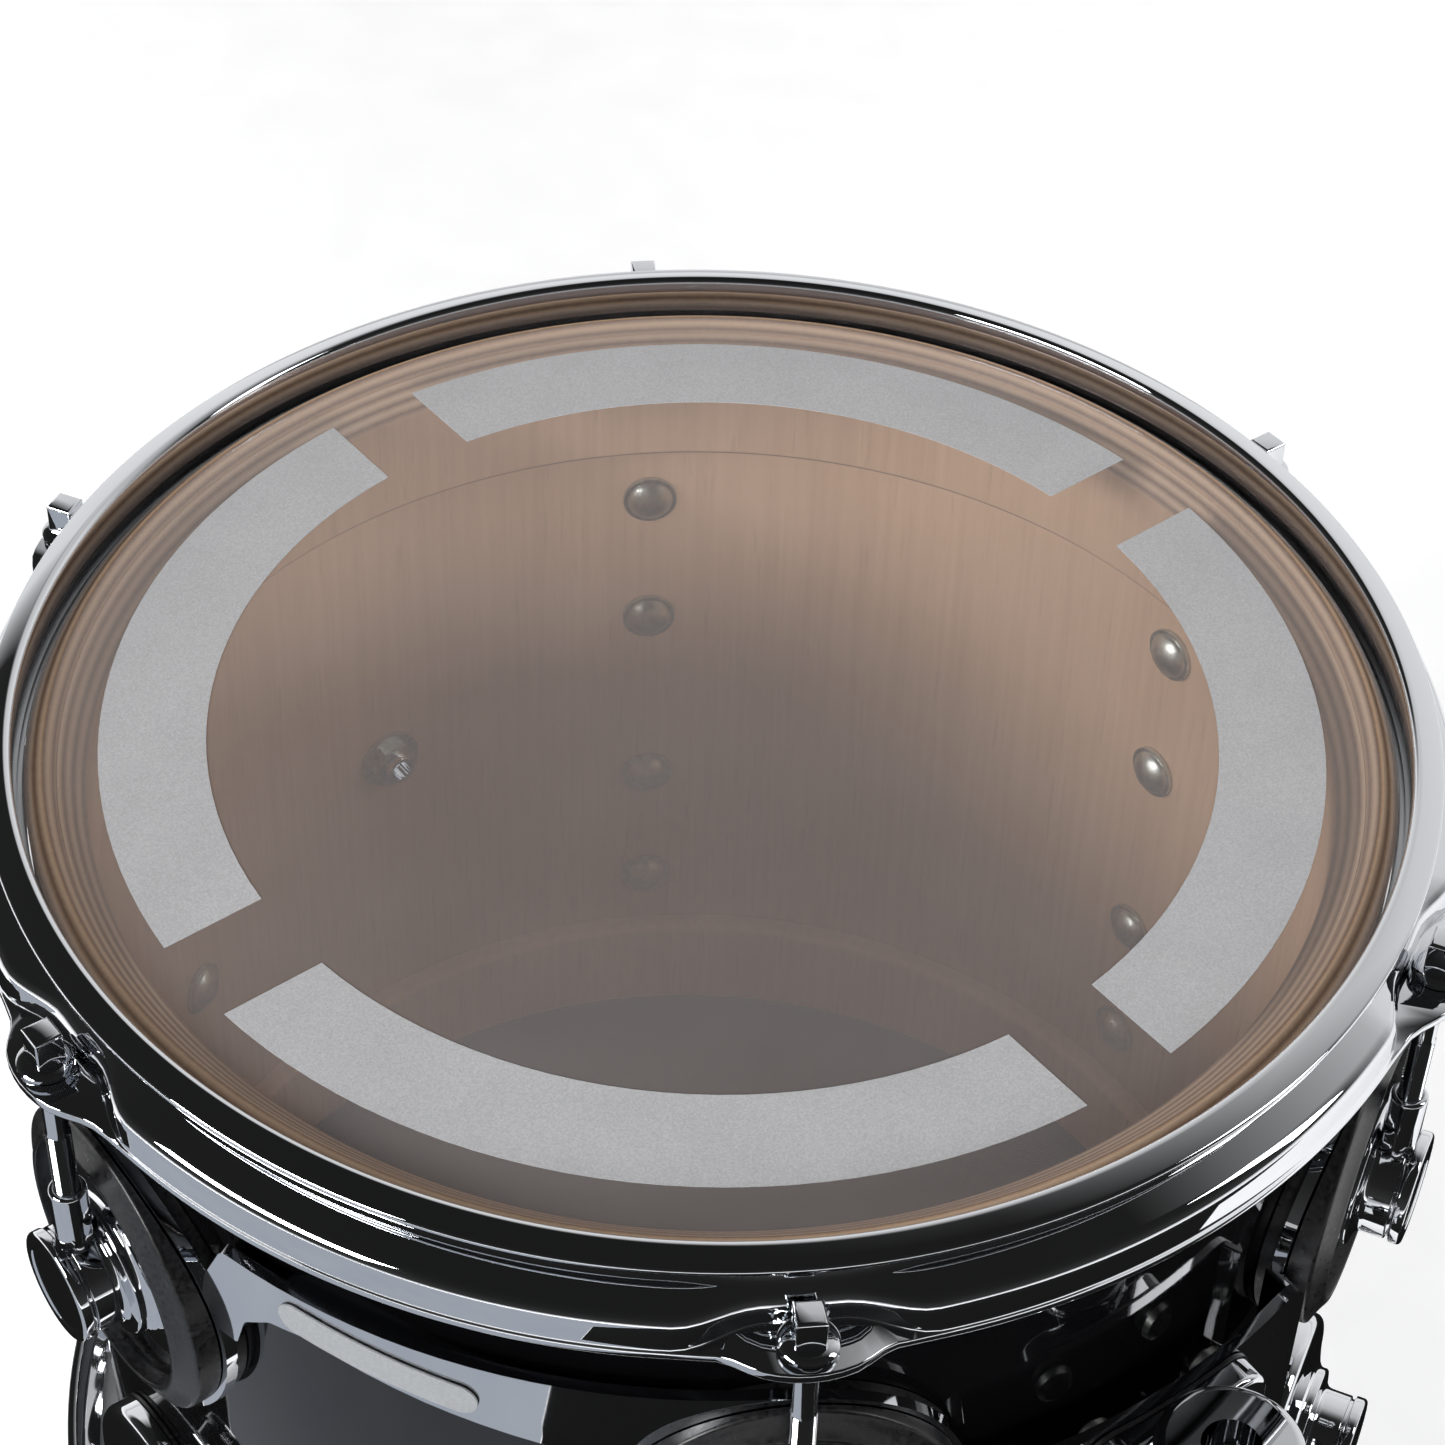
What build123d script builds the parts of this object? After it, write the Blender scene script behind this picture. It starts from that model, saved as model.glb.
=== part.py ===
from build123d import *
import os
from math import radians, sin, sqrt

# A 12 x 10 inch rack tom: a lacquered maple shell with a film head in a metal hoop at each end, six
# lugs in two rows, twelve tension rods, and a suspension plate that carries the clamp for the tom arm.
# Millimetres. +Z is up along the drum's axis, and the origin is the centre of the plane that the
# lower hoop stands on. The clamp faces -Y and the badge faces +Y.

# ---------------------------------------------------------------- driving dimensions
# Shell
shell_radius = 152.4            # outside
shell_wall = 7.0
shell_depth = 254.0             # from bearing edge to bearing edge
edge_crown_inset = 3.9          # from the outside of the shell to the crown of the bearing edge
edge_crown_width = 0.8
ring_thickness = 6.0            # reinforcement rings inside both ends
ring_height = 38.0
glue_gap = 0.3                  # between pieces that lie against each other round the drum

# Heads
film_thickness = 0.3
coating_thickness = 0.15
coating_inset = 16.3             # from the shell's outside to the coated ring
coating_width = 23.6
coating_gap_width = 23.0        # clear gaps between the four coated segments
coating_gap_turn = 1.9          # degrees that the gaps are turned from the axes
collar_clearance = 0.35         # film collar from the shell
flesh_hoop_width = 6.0
flesh_hoop_height = 6.2

# Hoops: pressed steel of one thickness, with a lip, a step over the flesh hoop and a flange with ears
hoop_sheet = 2.4
hoop_clearance = 0.4            # round the flesh hoop
hoop_rise = 8.0                 # the lip's top above the film
lip_overhang = 4.7              # the lip beyond the outside of the collar
step_depth = 3.6                # the step's top below the film
flange_depth = 9.5              # the flange's top below the film
flange_overhang = 7.7           # the flange beyond the outside of the drop
ear_reach = 6.5                 # the ears beyond the rod circle
ear_radius = 26.0               # of the round outline of an ear

# Tension rods, six to a head
rod_count = 6
rod_reach = 15.6                 # of the rods' axes beyond the shell
rod_radius = 2.75
rod_hole_radius = 3.5           # in the hoops' ears
rod_head_side = 6.35            # square, for a drum key
rod_head_height = 8.0
rod_flange_radius = 6.15
rod_flange_height = 2.0
washer_radius = 5.9
washer_thickness = 1.1
washer_clearance = 0.15
turning_gap = 0.2               # between faces that turn on each other
thread_clearance = 0.05         # radial, in the receivers and on the eyebolt

# Lugs: a round base and a barrel that stands straight out of the shell
lug_inset = 77.0                # from the bearing edge to the lug's axis
lug_base_radius = 29.0
lug_base_edge = 4.0             # thickness of the base at its middle line
lug_collar_radius = 17.0
lug_barrel_radius = 12.8
lug_reach = 22.1                # from the shell to the barrel's end
lug_cap_length = 3.0
gasket_thickness = 0.8
receiver_radius = 4.2
receiver_rise = 17.0            # of the receiver above the barrel
receiver_tail = 6.0             # of the receiver beyond the barrel's axis
receiver_clearance = 0.15
lug_screw_spacing = 41.0
lug_screw_radius = 2.4
lug_screw_clearance = 0.15
lug_screw_head_radius = 6.0
lug_screw_head_height = 3.2
lug_screw_bite = 3.2            # of the screw in the lug's base
screw_washer_radius = 7.0
screw_washer_thickness = 1.0

# Suspension plate: hangs on the lugs at -30, 30 and -90 degrees from the clamp, in rubber rings
plate_gap = 3.6                 # from the shell to the plate
plate_sheet = 2.6
plate_top_inset = 38.2          # from the bearing edge to the arm's top edge
ear_ring_radius = 38.0          # outside of the round eyes about the lugs
ear_hole_radius = 33.0
grommet_flange_radius = 36.6
grommet_front_height = 4.4      # rubber that stands in front of the plate
carrier_reach = 12.6            # from the shell to the outside of the raised middle
carrier_half_angle = 16.0
carrier_top_inset = 69.5
carrier_height = 58.0
carrier_corner = 9.0
label_length = 46.0
label_height = 8.4
label_tilt = -6.0               # it follows the arm's lower edge
label_thickness = 0.4

# Arm clamp
clamp_inset = 95.0              # from the bearing edge to the eyebolt's axis
clamp_radius = 16.0
clamp_height = 58.0
clamp_reach = 30.6              # from the shell to the axis of the arm's bore
arm_bore_radius = 6.4           # for an arm of 12.7 mm
clamp_base_width = 46.0
clamp_base_height = 50.0
clamp_base_thickness = 5.0
clamp_pad_thickness = 0.9
clamp_screw_radius = 2.9
clamp_screw_spacing_x = 32.0
clamp_screw_spacing_z = 36.0
clamp_screw_bite = 4.0
eye_radius = 11.0
eye_thickness = 7.0
eye_travel = 1.5                # the eyebolt is drawn out by this much when it clamps
eyebolt_radius = 3.0
wing_hub_radius = 7.0
wing_hub_length = 9.0
wing_span = 42.0

# Badge and vent
badge_radius = 17.0
badge_thickness = 1.0
vent_tube_radius = 4.2
vent_bore_radius = 3.0
vent_flange_radius = 7.5
vent_flange_height = 1.4
vent_nut_radius = 6.6
vent_nut_height = 3.0
vent_washer_radius = 8.5

# ---------------------------------------------------------------- derived sizes
shell_inside = shell_radius - shell_wall
rod_circle_radius = shell_radius + rod_reach
coating_outer_radius = shell_radius - coating_inset
coating_inner_radius = coating_outer_radius - coating_width
ring_inside = shell_inside - ring_thickness
crown_radius = shell_radius - edge_crown_inset
film_outer_radius = shell_radius + collar_clearance + film_thickness
flesh_hoop_inner = shell_radius + collar_clearance
flesh_hoop_outer = flesh_hoop_inner + flesh_hoop_width
collar_inner = film_outer_radius + 1.15
collar_outer = collar_inner + hoop_sheet
lip_radius = collar_outer + lip_overhang
drop_inner = flesh_hoop_outer + hoop_clearance + 0.05
drop_outer = drop_inner + hoop_sheet
flange_radius = drop_outer + flange_overhang
flesh_hoop_top = -step_depth - hoop_sheet - 0.2
flange_top = -flange_depth
flange_bottom = flange_top - hoop_sheet
drum_foot = hoop_rise                            # the lower film stands this high above the floor
lug_axis_z = -lug_inset
rod_pitch_angle = 360.0 / rod_count
base_seat = shell_radius + 2 * glue_gap + gasket_thickness
lug_front = base_seat + lug_base_edge
lug_end = shell_radius + lug_reach
plate_inner = shell_radius + plate_gap
plate_outer = plate_inner + plate_sheet
carrier_outer = shell_radius + carrier_reach
carrier_inner = carrier_outer - plate_sheet
clamp_axis_radius = shell_radius + clamp_reach
base_inner = carrier_outer + clamp_pad_thickness + 2 * glue_gap
middle = -shell_depth / 2

os.makedirs("parts", exist_ok=True)


# ---------------------------------------------------------------- helpers
# Everything is drawn with the upper bearing edge at height 0 and raised to its place when it is written.
def lift():
    return drum_foot + shell_depth


def turned_z(points):
    """A solid of revolution about the drum's axis from (radius, height) points."""
    return revolve(Plane.XZ * make_face(Polyline(*points, close=True)), Axis.Z)


def turned_z_round(points, radii):
    """The same with a rounding radius at each corner."""
    return revolve(Plane.XZ * make_face(FilletPolyline(*points, radius=radii, close=True)), Axis.Z)


def turned_x(points, height=0.0):
    """A solid of revolution about a radial line along +X from (distance, radius) points."""
    return Pos(0, 0, height) * revolve(make_face(Polyline(*points, close=True)), Axis.X)


def rod_x(radius, start, end, height=0.0):
    """A plain cylinder along +X from start to end."""
    return Pos((start + end) / 2, 0, height) * Rot(0, 90, 0) * Cylinder(radius, end - start)


def tube_z(inner, outer, low, high):
    """A tube about the drum's axis."""
    centre = Pos(0, 0, (low + high) / 2)
    return centre * (Cylinder(outer, high - low) - Cylinder(inner, high - low + 2))


def drum_skin(inner, outer):
    """A long tube about the drum's axis, to cut pieces to the shell's curve."""
    return tube_z(inner, outer, -shell_depth, 0)


def round_the_drum(piece, angles):
    """Copies of a piece that points along +X, turned to each angle."""
    return [Rot(0, 0, angle) * piece for angle in angles]


def upside_down(piece):
    """The lower end's copy of an upper piece."""
    return mirror(piece, about=Plane.XY.offset(middle))


def write(name, solids):
    group = solids if isinstance(solids, list) else [solids]
    placed = [Pos(0, 0, lift()) * solid for solid in group]
    parts = [part for piece in placed for part in piece.solids()]
    export_step(parts[0] if len(parts) == 1 else Compound(children=parts), f"parts/{name}.step")


all_lugs = [rod_pitch_angle * k for k in range(rod_count)]
clamp_angle = -90.0
plate_lugs = [clamp_angle - 30, clamp_angle + 30, clamp_angle - 90]


# ---------------------------------------------------------------- shell and reinforcement rings
half_crown = edge_crown_width / 2
outer_slope = edge_crown_inset - half_crown
inner_slope = shell_wall - edge_crown_inset - half_crown
shell = turned_z([
    (shell_inside, -inner_slope), (crown_radius - half_crown, 0), (crown_radius + half_crown, 0),
    (shell_radius, -outer_slope), (shell_radius, -shell_depth + outer_slope),
    (crown_radius + half_crown, -shell_depth), (crown_radius - half_crown, -shell_depth),
    (shell_inside, -shell_depth + inner_slope),
])
screw_heights = [lug_axis_z + side * lug_screw_spacing / 2 for side in (1, -1)]
screw_heights += [2 * middle - height for height in screw_heights]
screw_hole_radius = lug_screw_radius + lug_screw_clearance
for height in screw_heights:
    for hole in round_the_drum(rod_x(screw_hole_radius, ring_inside, lug_end, height), all_lugs):
        shell -= hole
vent_hole_radius = vent_tube_radius + 0.2
vent_angle = clamp_angle + 180
shell -= Rot(0, 0, vent_angle) * rod_x(vent_hole_radius, ring_inside, lug_end, middle)
write("shell", shell)

ring_outer = shell_inside - glue_gap
ring_slope_top = -inner_slope - glue_gap
ring_chamfer = 2.0
upper_ring = turned_z([
    (ring_outer, ring_slope_top), (ring_inside, ring_slope_top - (ring_outer - ring_inside)),
    (ring_inside, -ring_height + ring_chamfer), (ring_inside + ring_chamfer, -ring_height),
    (ring_outer, -ring_height),
])
write("reinforcement_ring_upper", upper_ring)
write("reinforcement_ring_lower", upside_down(upper_ring))


# ---------------------------------------------------------------- heads
# The film lies on the crown, runs down outside the bearing edge and ends in the flesh hoop.
fold = crown_radius + half_crown + 0.2
film = turned_z([
    (0, 0), (fold, 0), (flesh_hoop_inner, -outer_slope), (flesh_hoop_inner, flesh_hoop_top),
    (film_outer_radius, flesh_hoop_top), (film_outer_radius, -outer_slope + film_thickness / 2),
    (fold + film_thickness / 2, film_thickness), (0, film_thickness),
])
write("batter_film", film)
write("resonant_film", upside_down(film))

coating = tube_z(coating_inner_radius, coating_outer_radius, film_thickness, film_thickness + coating_thickness)
gap_box = Box(2 * coating_outer_radius + 10, coating_gap_width, 10)
for turn in (0, 90):
    coating -= Rot(0, 0, turn + coating_gap_turn) * gap_box
write("batter_coating", coating)

flesh_hoop = turned_z_round([
    (flesh_hoop_inner, flesh_hoop_top), (flesh_hoop_outer, flesh_hoop_top),
    (flesh_hoop_outer, flesh_hoop_top - flesh_hoop_height),
    (flesh_hoop_inner, flesh_hoop_top - flesh_hoop_height),
], [0.2, 1.2, 1.2, 1.2])
write("batter_flesh_hoop", flesh_hoop)
write("resonant_flesh_hoop", upside_down(flesh_hoop))


# ---------------------------------------------------------------- hoops
inner_bend = 1.0
outer_bend = inner_bend + hoop_sheet
flange_bend = 0.4                                # sharp, so that the washers lie flat beside the drop
hoop = turned_z_round([
    (collar_inner, hoop_rise), (lip_radius, hoop_rise), (lip_radius, hoop_rise - hoop_sheet),
    (collar_outer, hoop_rise - hoop_sheet), (collar_outer, -step_depth), (drop_outer, -step_depth),
    (drop_outer, flange_top), (flange_radius, flange_top), (flange_radius, flange_bottom),
    (drop_inner, flange_bottom), (drop_inner, -step_depth - hoop_sheet),
    (collar_inner, -step_depth - hoop_sheet),
], [
    outer_bend, 0.8, 0.8, inner_bend, inner_bend, outer_bend, flange_bend, 0.8, 0.8, outer_bend, 0.5, outer_bend,
])
ear_middle = rod_circle_radius + ear_reach - ear_radius
ear_disc = Pos(ear_middle, 0, flange_top - hoop_sheet / 2) * Cylinder(ear_radius, hoop_sheet)
ear_disc -= Pos(0, 0, flange_top) * Cylinder(drop_outer - 0.5, 4 * hoop_sheet)
rod_hole = Pos(rod_circle_radius, 0, flange_top) * Cylinder(rod_hole_radius, 8 * hoop_sheet)
for ear in round_the_drum(ear_disc, all_lugs):
    hoop += ear
for hole in round_the_drum(rod_hole, all_lugs):
    hoop -= hole
write("batter_hoop", hoop)
write("resonant_hoop", upside_down(hoop))


# ---------------------------------------------------------------- tension rods and their washers
washer_seat = flange_top
washer_top = washer_seat + washer_thickness
rod_seat = washer_top + turning_gap
rod_flange_top = rod_seat + rod_flange_height
washer = Pos(rod_circle_radius, 0, (washer_seat + washer_top) / 2) * (
    Cylinder(washer_radius, washer_thickness) - Cylinder(rod_radius + washer_clearance, 2 * washer_thickness)
)
washers = round_the_drum(washer, all_lugs)
write("rod_washers_upper", washers)
write("rod_washers_lower", [upside_down(piece) for piece in washers])

rod_end = lug_axis_z
shaft = Pos(0, 0, (rod_seat + rod_end) / 2) * Cylinder(rod_radius, rod_seat - rod_end)
shaft = chamfer(shaft.edges().sort_by(Axis.Z)[0], 0.6)
rod_flange = Pos(0, 0, rod_seat + rod_flange_height / 2) * Cylinder(rod_flange_radius, rod_flange_height)
rod_head = Pos(0, 0, rod_flange_top + rod_head_height / 2) * Box(rod_head_side, rod_head_side, rod_head_height)
rod_head = chamfer(rod_head.faces().sort_by(Axis.Z)[-1].edges(), 0.5)
tension_rod = Pos(rod_circle_radius, 0, 0) * (shaft + rod_flange + rod_head)
for number, angle in enumerate(all_lugs, start=1):
    upper_rod = Rot(0, 0, angle) * tension_rod
    write(f"tension_rod_upper_{number}", upper_rod)
    write(f"tension_rod_lower_{number}", upside_down(upper_rod))


# ---------------------------------------------------------------- lugs, receivers, gaskets and screws
inside_start = shell_radius - 12
collar_end = lug_end - 11.0
cap_start = lug_end - lug_cap_length
lug_profile = [
    (inside_start, 0), (inside_start, lug_base_radius), (lug_front, lug_base_radius),
    (lug_front + 1.2, lug_base_radius - 2.0), (lug_front + 1.7, lug_collar_radius + 4.5),
    (lug_front + 2.6, lug_collar_radius + 1.2), (collar_end - 1.0, lug_collar_radius),
    (collar_end, lug_collar_radius - 1.0), (collar_end + 0.4, lug_barrel_radius + 0.8),
    (collar_end + 1.4, lug_barrel_radius), (cap_start - 0.8, lug_barrel_radius),
    (cap_start - 0.8, lug_barrel_radius - 0.7), (cap_start, lug_barrel_radius - 0.7),
    (cap_start, lug_barrel_radius + 0.3), (lug_end - 1.0, lug_barrel_radius + 0.3),
    (lug_end, lug_barrel_radius - 0.7), (lug_end, 0),
]
lug = turned_x(lug_profile, lug_axis_z) - Pos(0, 0, lug_axis_z) * Cylinder(base_seat, 4 * lug_base_radius)
lug = lug.solids().sort_by(Axis.X)[-1]
receiver_bottom = lug_axis_z - receiver_tail
receiver_top = lug_axis_z + lug_barrel_radius + receiver_rise
receiver_hole_radius = receiver_radius + receiver_clearance
hole_length = receiver_top - receiver_bottom
lug -= Pos(rod_circle_radius, 0, receiver_bottom + hole_length / 2) * Cylinder(receiver_hole_radius, hole_length)
for height in screw_heights[:2]:
    lug -= rod_x(screw_hole_radius, inside_start, base_seat + lug_screw_bite + 0.4, height)
lugs = round_the_drum(lug, all_lugs)
write("lugs_upper", lugs)
write("lugs_lower", [upside_down(piece) for piece in lugs])

receiver = Pos(rod_circle_radius, 0, receiver_bottom + hole_length / 2) * Cylinder(receiver_radius, hole_length)
receiver = chamfer(receiver.edges().sort_by(Axis.Z)[-1], 0.7)
bore_bottom = receiver_bottom + 2.5
bore_length = receiver_top - bore_bottom
receiver -= Pos(rod_circle_radius, 0, bore_bottom + bore_length / 2) * Cylinder(
    rod_radius + thread_clearance, bore_length
)
receivers = round_the_drum(receiver, all_lugs)
write("rod_receivers_upper", receivers)
write("rod_receivers_lower", [upside_down(piece) for piece in receivers])

gasket = rod_x(lug_base_radius + 0.2, inside_start, lug_end, lug_axis_z)
for height in screw_heights[:2]:
    gasket -= rod_x(screw_hole_radius, inside_start, lug_end, height)
gasket_skin = drum_skin(shell_radius + glue_gap, shell_radius + glue_gap + gasket_thickness)
gasket = (gasket & gasket_skin).solids().sort_by(Axis.X)[-1]
gaskets = round_the_drum(gasket, all_lugs)
write("lug_gaskets_upper", gaskets)
write("lug_gaskets_lower", [upside_down(piece) for piece in gaskets])

screw_washer_front = shell_inside - 0.4
screw_washer_back = screw_washer_front - screw_washer_thickness
screw_head_back = screw_washer_back - lug_screw_head_height
screws = []
screw_washers = []
for height in screw_heights:
    flat = screw_washer_back
    screw = turned_x([
        (screw_head_back, 0), (screw_head_back, 1.6), (screw_head_back + 0.5, 3.4),
        (flat - 1.5, lug_screw_head_radius - 0.7), (flat - 0.5, lug_screw_head_radius),
        (flat, lug_screw_head_radius), (flat, lug_screw_radius),
        (base_seat + lug_screw_bite, lug_screw_radius), (base_seat + lug_screw_bite, 0),
    ], height)
    washer_disc = rod_x(screw_washer_radius, screw_washer_back, screw_washer_front, height)
    washer_disc -= rod_x(screw_hole_radius, screw_washer_back - 1, screw_washer_front + 1, height)
    screws += round_the_drum(screw, all_lugs)
    screw_washers += round_the_drum(washer_disc, all_lugs)
write("lug_screws", screws)
write("lug_screw_washers", screw_washers)


# ---------------------------------------------------------------- suspension plate
def prism(angle, outline, radii):
    """A prism that stands out of the drum at an angle, from (sideways, height) corners."""
    face = Plane.YZ * make_face(FilletPolyline(*outline, radius=radii, close=True))
    return Rot(0, 0, angle) * extrude(face, amount=2 * shell_radius, dir=(1, 0, 0))


lug_eye_z = lug_axis_z
eye_disc = rod_x(ear_ring_radius, shell_radius / 2, lug_end + 20, lug_eye_z)
eye_hole = rod_x(ear_hole_radius, shell_radius / 2, lug_end + 40, lug_eye_z)
spread = plate_outer * sin(radians(30))           # sideways place of a lug 30 degrees away
arm_bottom = plate_top_inset + 16.5
arm = prism(clamp_angle - 60, [
    (-spread * 0.53, -plate_top_inset), (spread, -plate_top_inset), (spread, lug_eye_z + 6),
    (spread * 0.56, lug_eye_z + 14), (spread * 0.42, -arm_bottom - 3.8), (spread * 0.09, -arm_bottom),
    (-spread * 0.26, -arm_bottom + 4.4), (-spread * 0.38, -arm_bottom + 2.6), (-spread * 0.47, -arm_bottom - 3.0),
    (-spread * 0.505, lug_eye_z + 10), (-spread * 0.64, lug_eye_z + 10), (-spread * 0.605, -plate_top_inset - 13),
], [3.0, 1.0, 1.0, 8.0, 8.0, 30.0, 4.0, 4.0, 4.0, 1.0, 1.0, 3.0])
plate_skin = drum_skin(plate_inner, plate_outer)
plate = arm & plate_skin
for eye in round_the_drum(eye_disc, plate_lugs):
    plate += eye & plate_skin
carrier_width = carrier_outer * sin(radians(carrier_half_angle))
carrier_bottom = carrier_top_inset + carrier_height
carrier_outline = [
    (-carrier_width, -carrier_top_inset), (carrier_width, -carrier_top_inset),
    (carrier_width, -carrier_bottom), (-carrier_width, -carrier_bottom),
]
carrier = prism(clamp_angle, carrier_outline, [carrier_corner] * 4)
wall_top = carrier_top_inset + 2.0
wall_bottom = -lug_eye_z + 28
inner_width = plate_inner * sin(radians(carrier_half_angle)) - plate_sheet
side_walls = []
for side in (1, -1):
    wall = prism(clamp_angle, [
        (side * inner_width, -wall_top), (side * carrier_width, -wall_top),
        (side * carrier_width, -wall_bottom), (side * inner_width, -wall_bottom),
    ][::side], [0.5] * 4)
    side_walls.append(wall & carrier & drum_skin(plate_inner, carrier_outer))
    web = prism(clamp_angle, [
        (side * inner_width, -wall_top), (side * (carrier_width + 8), -wall_top),
        (side * (carrier_width + 8), -wall_bottom), (side * inner_width, -wall_bottom),
    ][::side], [0.5, 0.5, 0.5, 0.5])
    side_walls.append(web & plate_skin)
plate += carrier & drum_skin(carrier_inner, carrier_outer)
for wall in side_walls:
    plate += wall
for hole in round_the_drum(eye_hole, plate_lugs):
    plate -= hole
clamp_z = -clamp_inset
clamp_screw_places = [
    (x * clamp_screw_spacing_x / 2, z * clamp_screw_spacing_z / 2) for x in (1, -1) for z in (1, -1)
]
clamp_hole_radius = clamp_screw_radius + 0.2
for x, z in clamp_screw_places:
    plate -= Rot(0, 0, clamp_angle) * Pos(0, x, clamp_z + z) * rod_x(clamp_hole_radius, shell_radius, lug_end)
write("suspension_plate", plate)

# Rubber: a ring in each eye with a flange in front of the plate, and a ring between plate and shell
rubber_inside = lug_base_radius + 0.5
front_start = plate_outer + glue_gap
front_blank = turned_x([
    (inside_start, 0), (inside_start, grommet_flange_radius), (front_start + 1.2, grommet_flange_radius),
    (front_start + grommet_front_height * 0.6, rubber_inside + 3.5),
    (front_start + grommet_front_height, rubber_inside + 1.2), (front_start + grommet_front_height, 0),
], lug_eye_z)
front_flange = front_blank - Pos(0, 0, lug_eye_z) * Cylinder(front_start, 4 * lug_base_radius)
front_flange = front_flange.solids().sort_by(Axis.X)[-1]
sleeve = rod_x(ear_hole_radius - 0.3, inside_start, lug_end, lug_eye_z) & drum_skin(plate_inner + 0.1, front_start + 1)
sleeve = sleeve.solids().sort_by(Axis.X)[-1]
grommet = (front_flange + sleeve) - rod_x(rubber_inside, inside_start, 2 * lug_end, lug_eye_z)
write("suspension_grommets", round_the_drum(grommet, plate_lugs))

spacer = rod_x(grommet_flange_radius, inside_start, lug_end, lug_eye_z)
spacer -= rod_x(rubber_inside, 0, 2 * lug_end, lug_eye_z)
spacer = spacer & drum_skin(shell_radius + glue_gap, plate_inner - glue_gap)
spacer = spacer.solids().sort_by(Axis.X)[-1]
write("suspension_spacers", round_the_drum(spacer, plate_lugs))

label_half = label_height / 2
label_z = -plate_top_inset - 4.6 - label_half
label_turn = clamp_angle - 61.4
label_face = Plane.YZ * (Rot(0, 0, label_tilt) * SlotOverall(label_length, label_height))
label_blank = Pos(0, 0, label_z) * extrude(label_face, amount=2 * shell_radius, dir=(1, 0, 0))
label_skin = drum_skin(plate_outer + glue_gap, plate_outer + glue_gap + label_thickness)
write("plate_label", Rot(0, 0, label_turn) * (label_blank & label_skin))


# ---------------------------------------------------------------- arm clamp
# Drawn along +X and turned to the clamp's side.
def at_clamp(piece):
    return Rot(0, 0, clamp_angle) * piece


pad_blank = Box(60, clamp_base_width + 1, clamp_base_height + 1)
pad_blank = fillet(pad_blank.edges().filter_by(Axis.X), 8.5)
pad = Pos(carrier_outer, 0, clamp_z) * pad_blank
pad = pad & drum_skin(carrier_outer + glue_gap, carrier_outer + glue_gap + clamp_pad_thickness)
base_face = base_inner + clamp_base_thickness
clamp_base = Box(60, clamp_base_width, clamp_base_height)
clamp_base = fillet(clamp_base.edges().filter_by(Axis.X), 8.0)
clamp_base = Pos(base_face - 30, 0, clamp_z) * clamp_base
clamp_base = fillet(clamp_base.faces().sort_by(Axis.X)[-1].edges(), 1.5)
clamp_top = clamp_z + clamp_height / 2
post = Pos(clamp_axis_radius, 0, clamp_z) * Cylinder(clamp_radius, clamp_height)
post = fillet(post.edges().filter_by(GeomType.CIRCLE), 2.4)
neck_width = 2 * clamp_radius - 6
neck_depth = clamp_axis_radius - base_face + 2
neck = Pos(base_face - 1 + neck_depth / 2, 0, clamp_z) * Box(neck_depth, neck_width, clamp_base_height - 6)
body = clamp_base + neck + post
body -= Pos(0, 0, clamp_z) * Cylinder(base_inner, 2 * clamp_height)
body = body.solids().sort_by(Axis.X)[-1]
body -= Pos(clamp_axis_radius, 0, clamp_z) * Cylinder(arm_bore_radius, 2 * clamp_height)
eye_gap = 0.4
slot_height = eye_thickness + 2 * eye_gap
slot_depth = 2 * (eye_radius + eye_gap) + eye_travel
slot = Pos(clamp_axis_radius + eye_travel / 2, 0, clamp_z) * Box(
    slot_depth, 2 * clamp_radius + 2, slot_height
)
body -= slot & Pos(clamp_axis_radius, 0, clamp_z) * Cylinder(2 * clamp_radius, slot_height)
post_front = clamp_axis_radius + clamp_radius
shank_hole = eyebolt_radius + 0.3
body -= rod_x(shank_hole, clamp_axis_radius, post_front + 2, clamp_z)
face_inset = 1.6
nut_seat = post_front - face_inset
body -= rod_x(wing_hub_radius + 1.0, nut_seat, post_front + 5, clamp_z)
for x, z in clamp_screw_places:
    body -= Pos(0, x, clamp_z + z) * rod_x(clamp_screw_radius + 0.1, shell_radius, base_inner + clamp_screw_bite)
    pad -= Pos(0, x, clamp_z + z) * rod_x(clamp_screw_radius + 0.1, shell_radius, base_inner + clamp_screw_bite)
pad = pad.solids().sort_by(Axis.X)[-1]
write("clamp_body", at_clamp(body))
write("clamp_pad", at_clamp(pad))

screw_head_front = carrier_inner - 0.1
clamp_screws = []
for x, z in clamp_screw_places:
    seat = sqrt(carrier_inner ** 2 - (abs(x) + 5.0) ** 2) - 0.2
    reach = sqrt(base_inner ** 2 - x ** 2) + clamp_screw_bite - 1.6
    clamp_screw = turned_x([
        (seat - 3.0, 0), (seat - 3.0, 3.2), (seat - 2.0, 4.6), (seat, 5.0), (seat, clamp_screw_radius),
        (reach, clamp_screw_radius), (reach, 0),
    ])
    clamp_screws.append(at_clamp(Pos(0, x, clamp_z + z) * clamp_screw))
write("clamp_screws", clamp_screws)

nut_start = nut_seat + 0.3
nut_end = nut_start + wing_hub_length
shank_end = nut_end + 5.0
eye = Pos(clamp_axis_radius, 0, clamp_z) * (
    Cylinder(eye_radius, eye_thickness) - Cylinder(arm_bore_radius + 0.1, 2 * eye_thickness)
)
shank = rod_x(eyebolt_radius, clamp_axis_radius + eye_radius - 2.0, shank_end, clamp_z)
shank = chamfer(shank.edges().sort_by(Axis.X)[-1], 0.6)
write("eyebolt", at_clamp(eye + shank))

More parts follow.
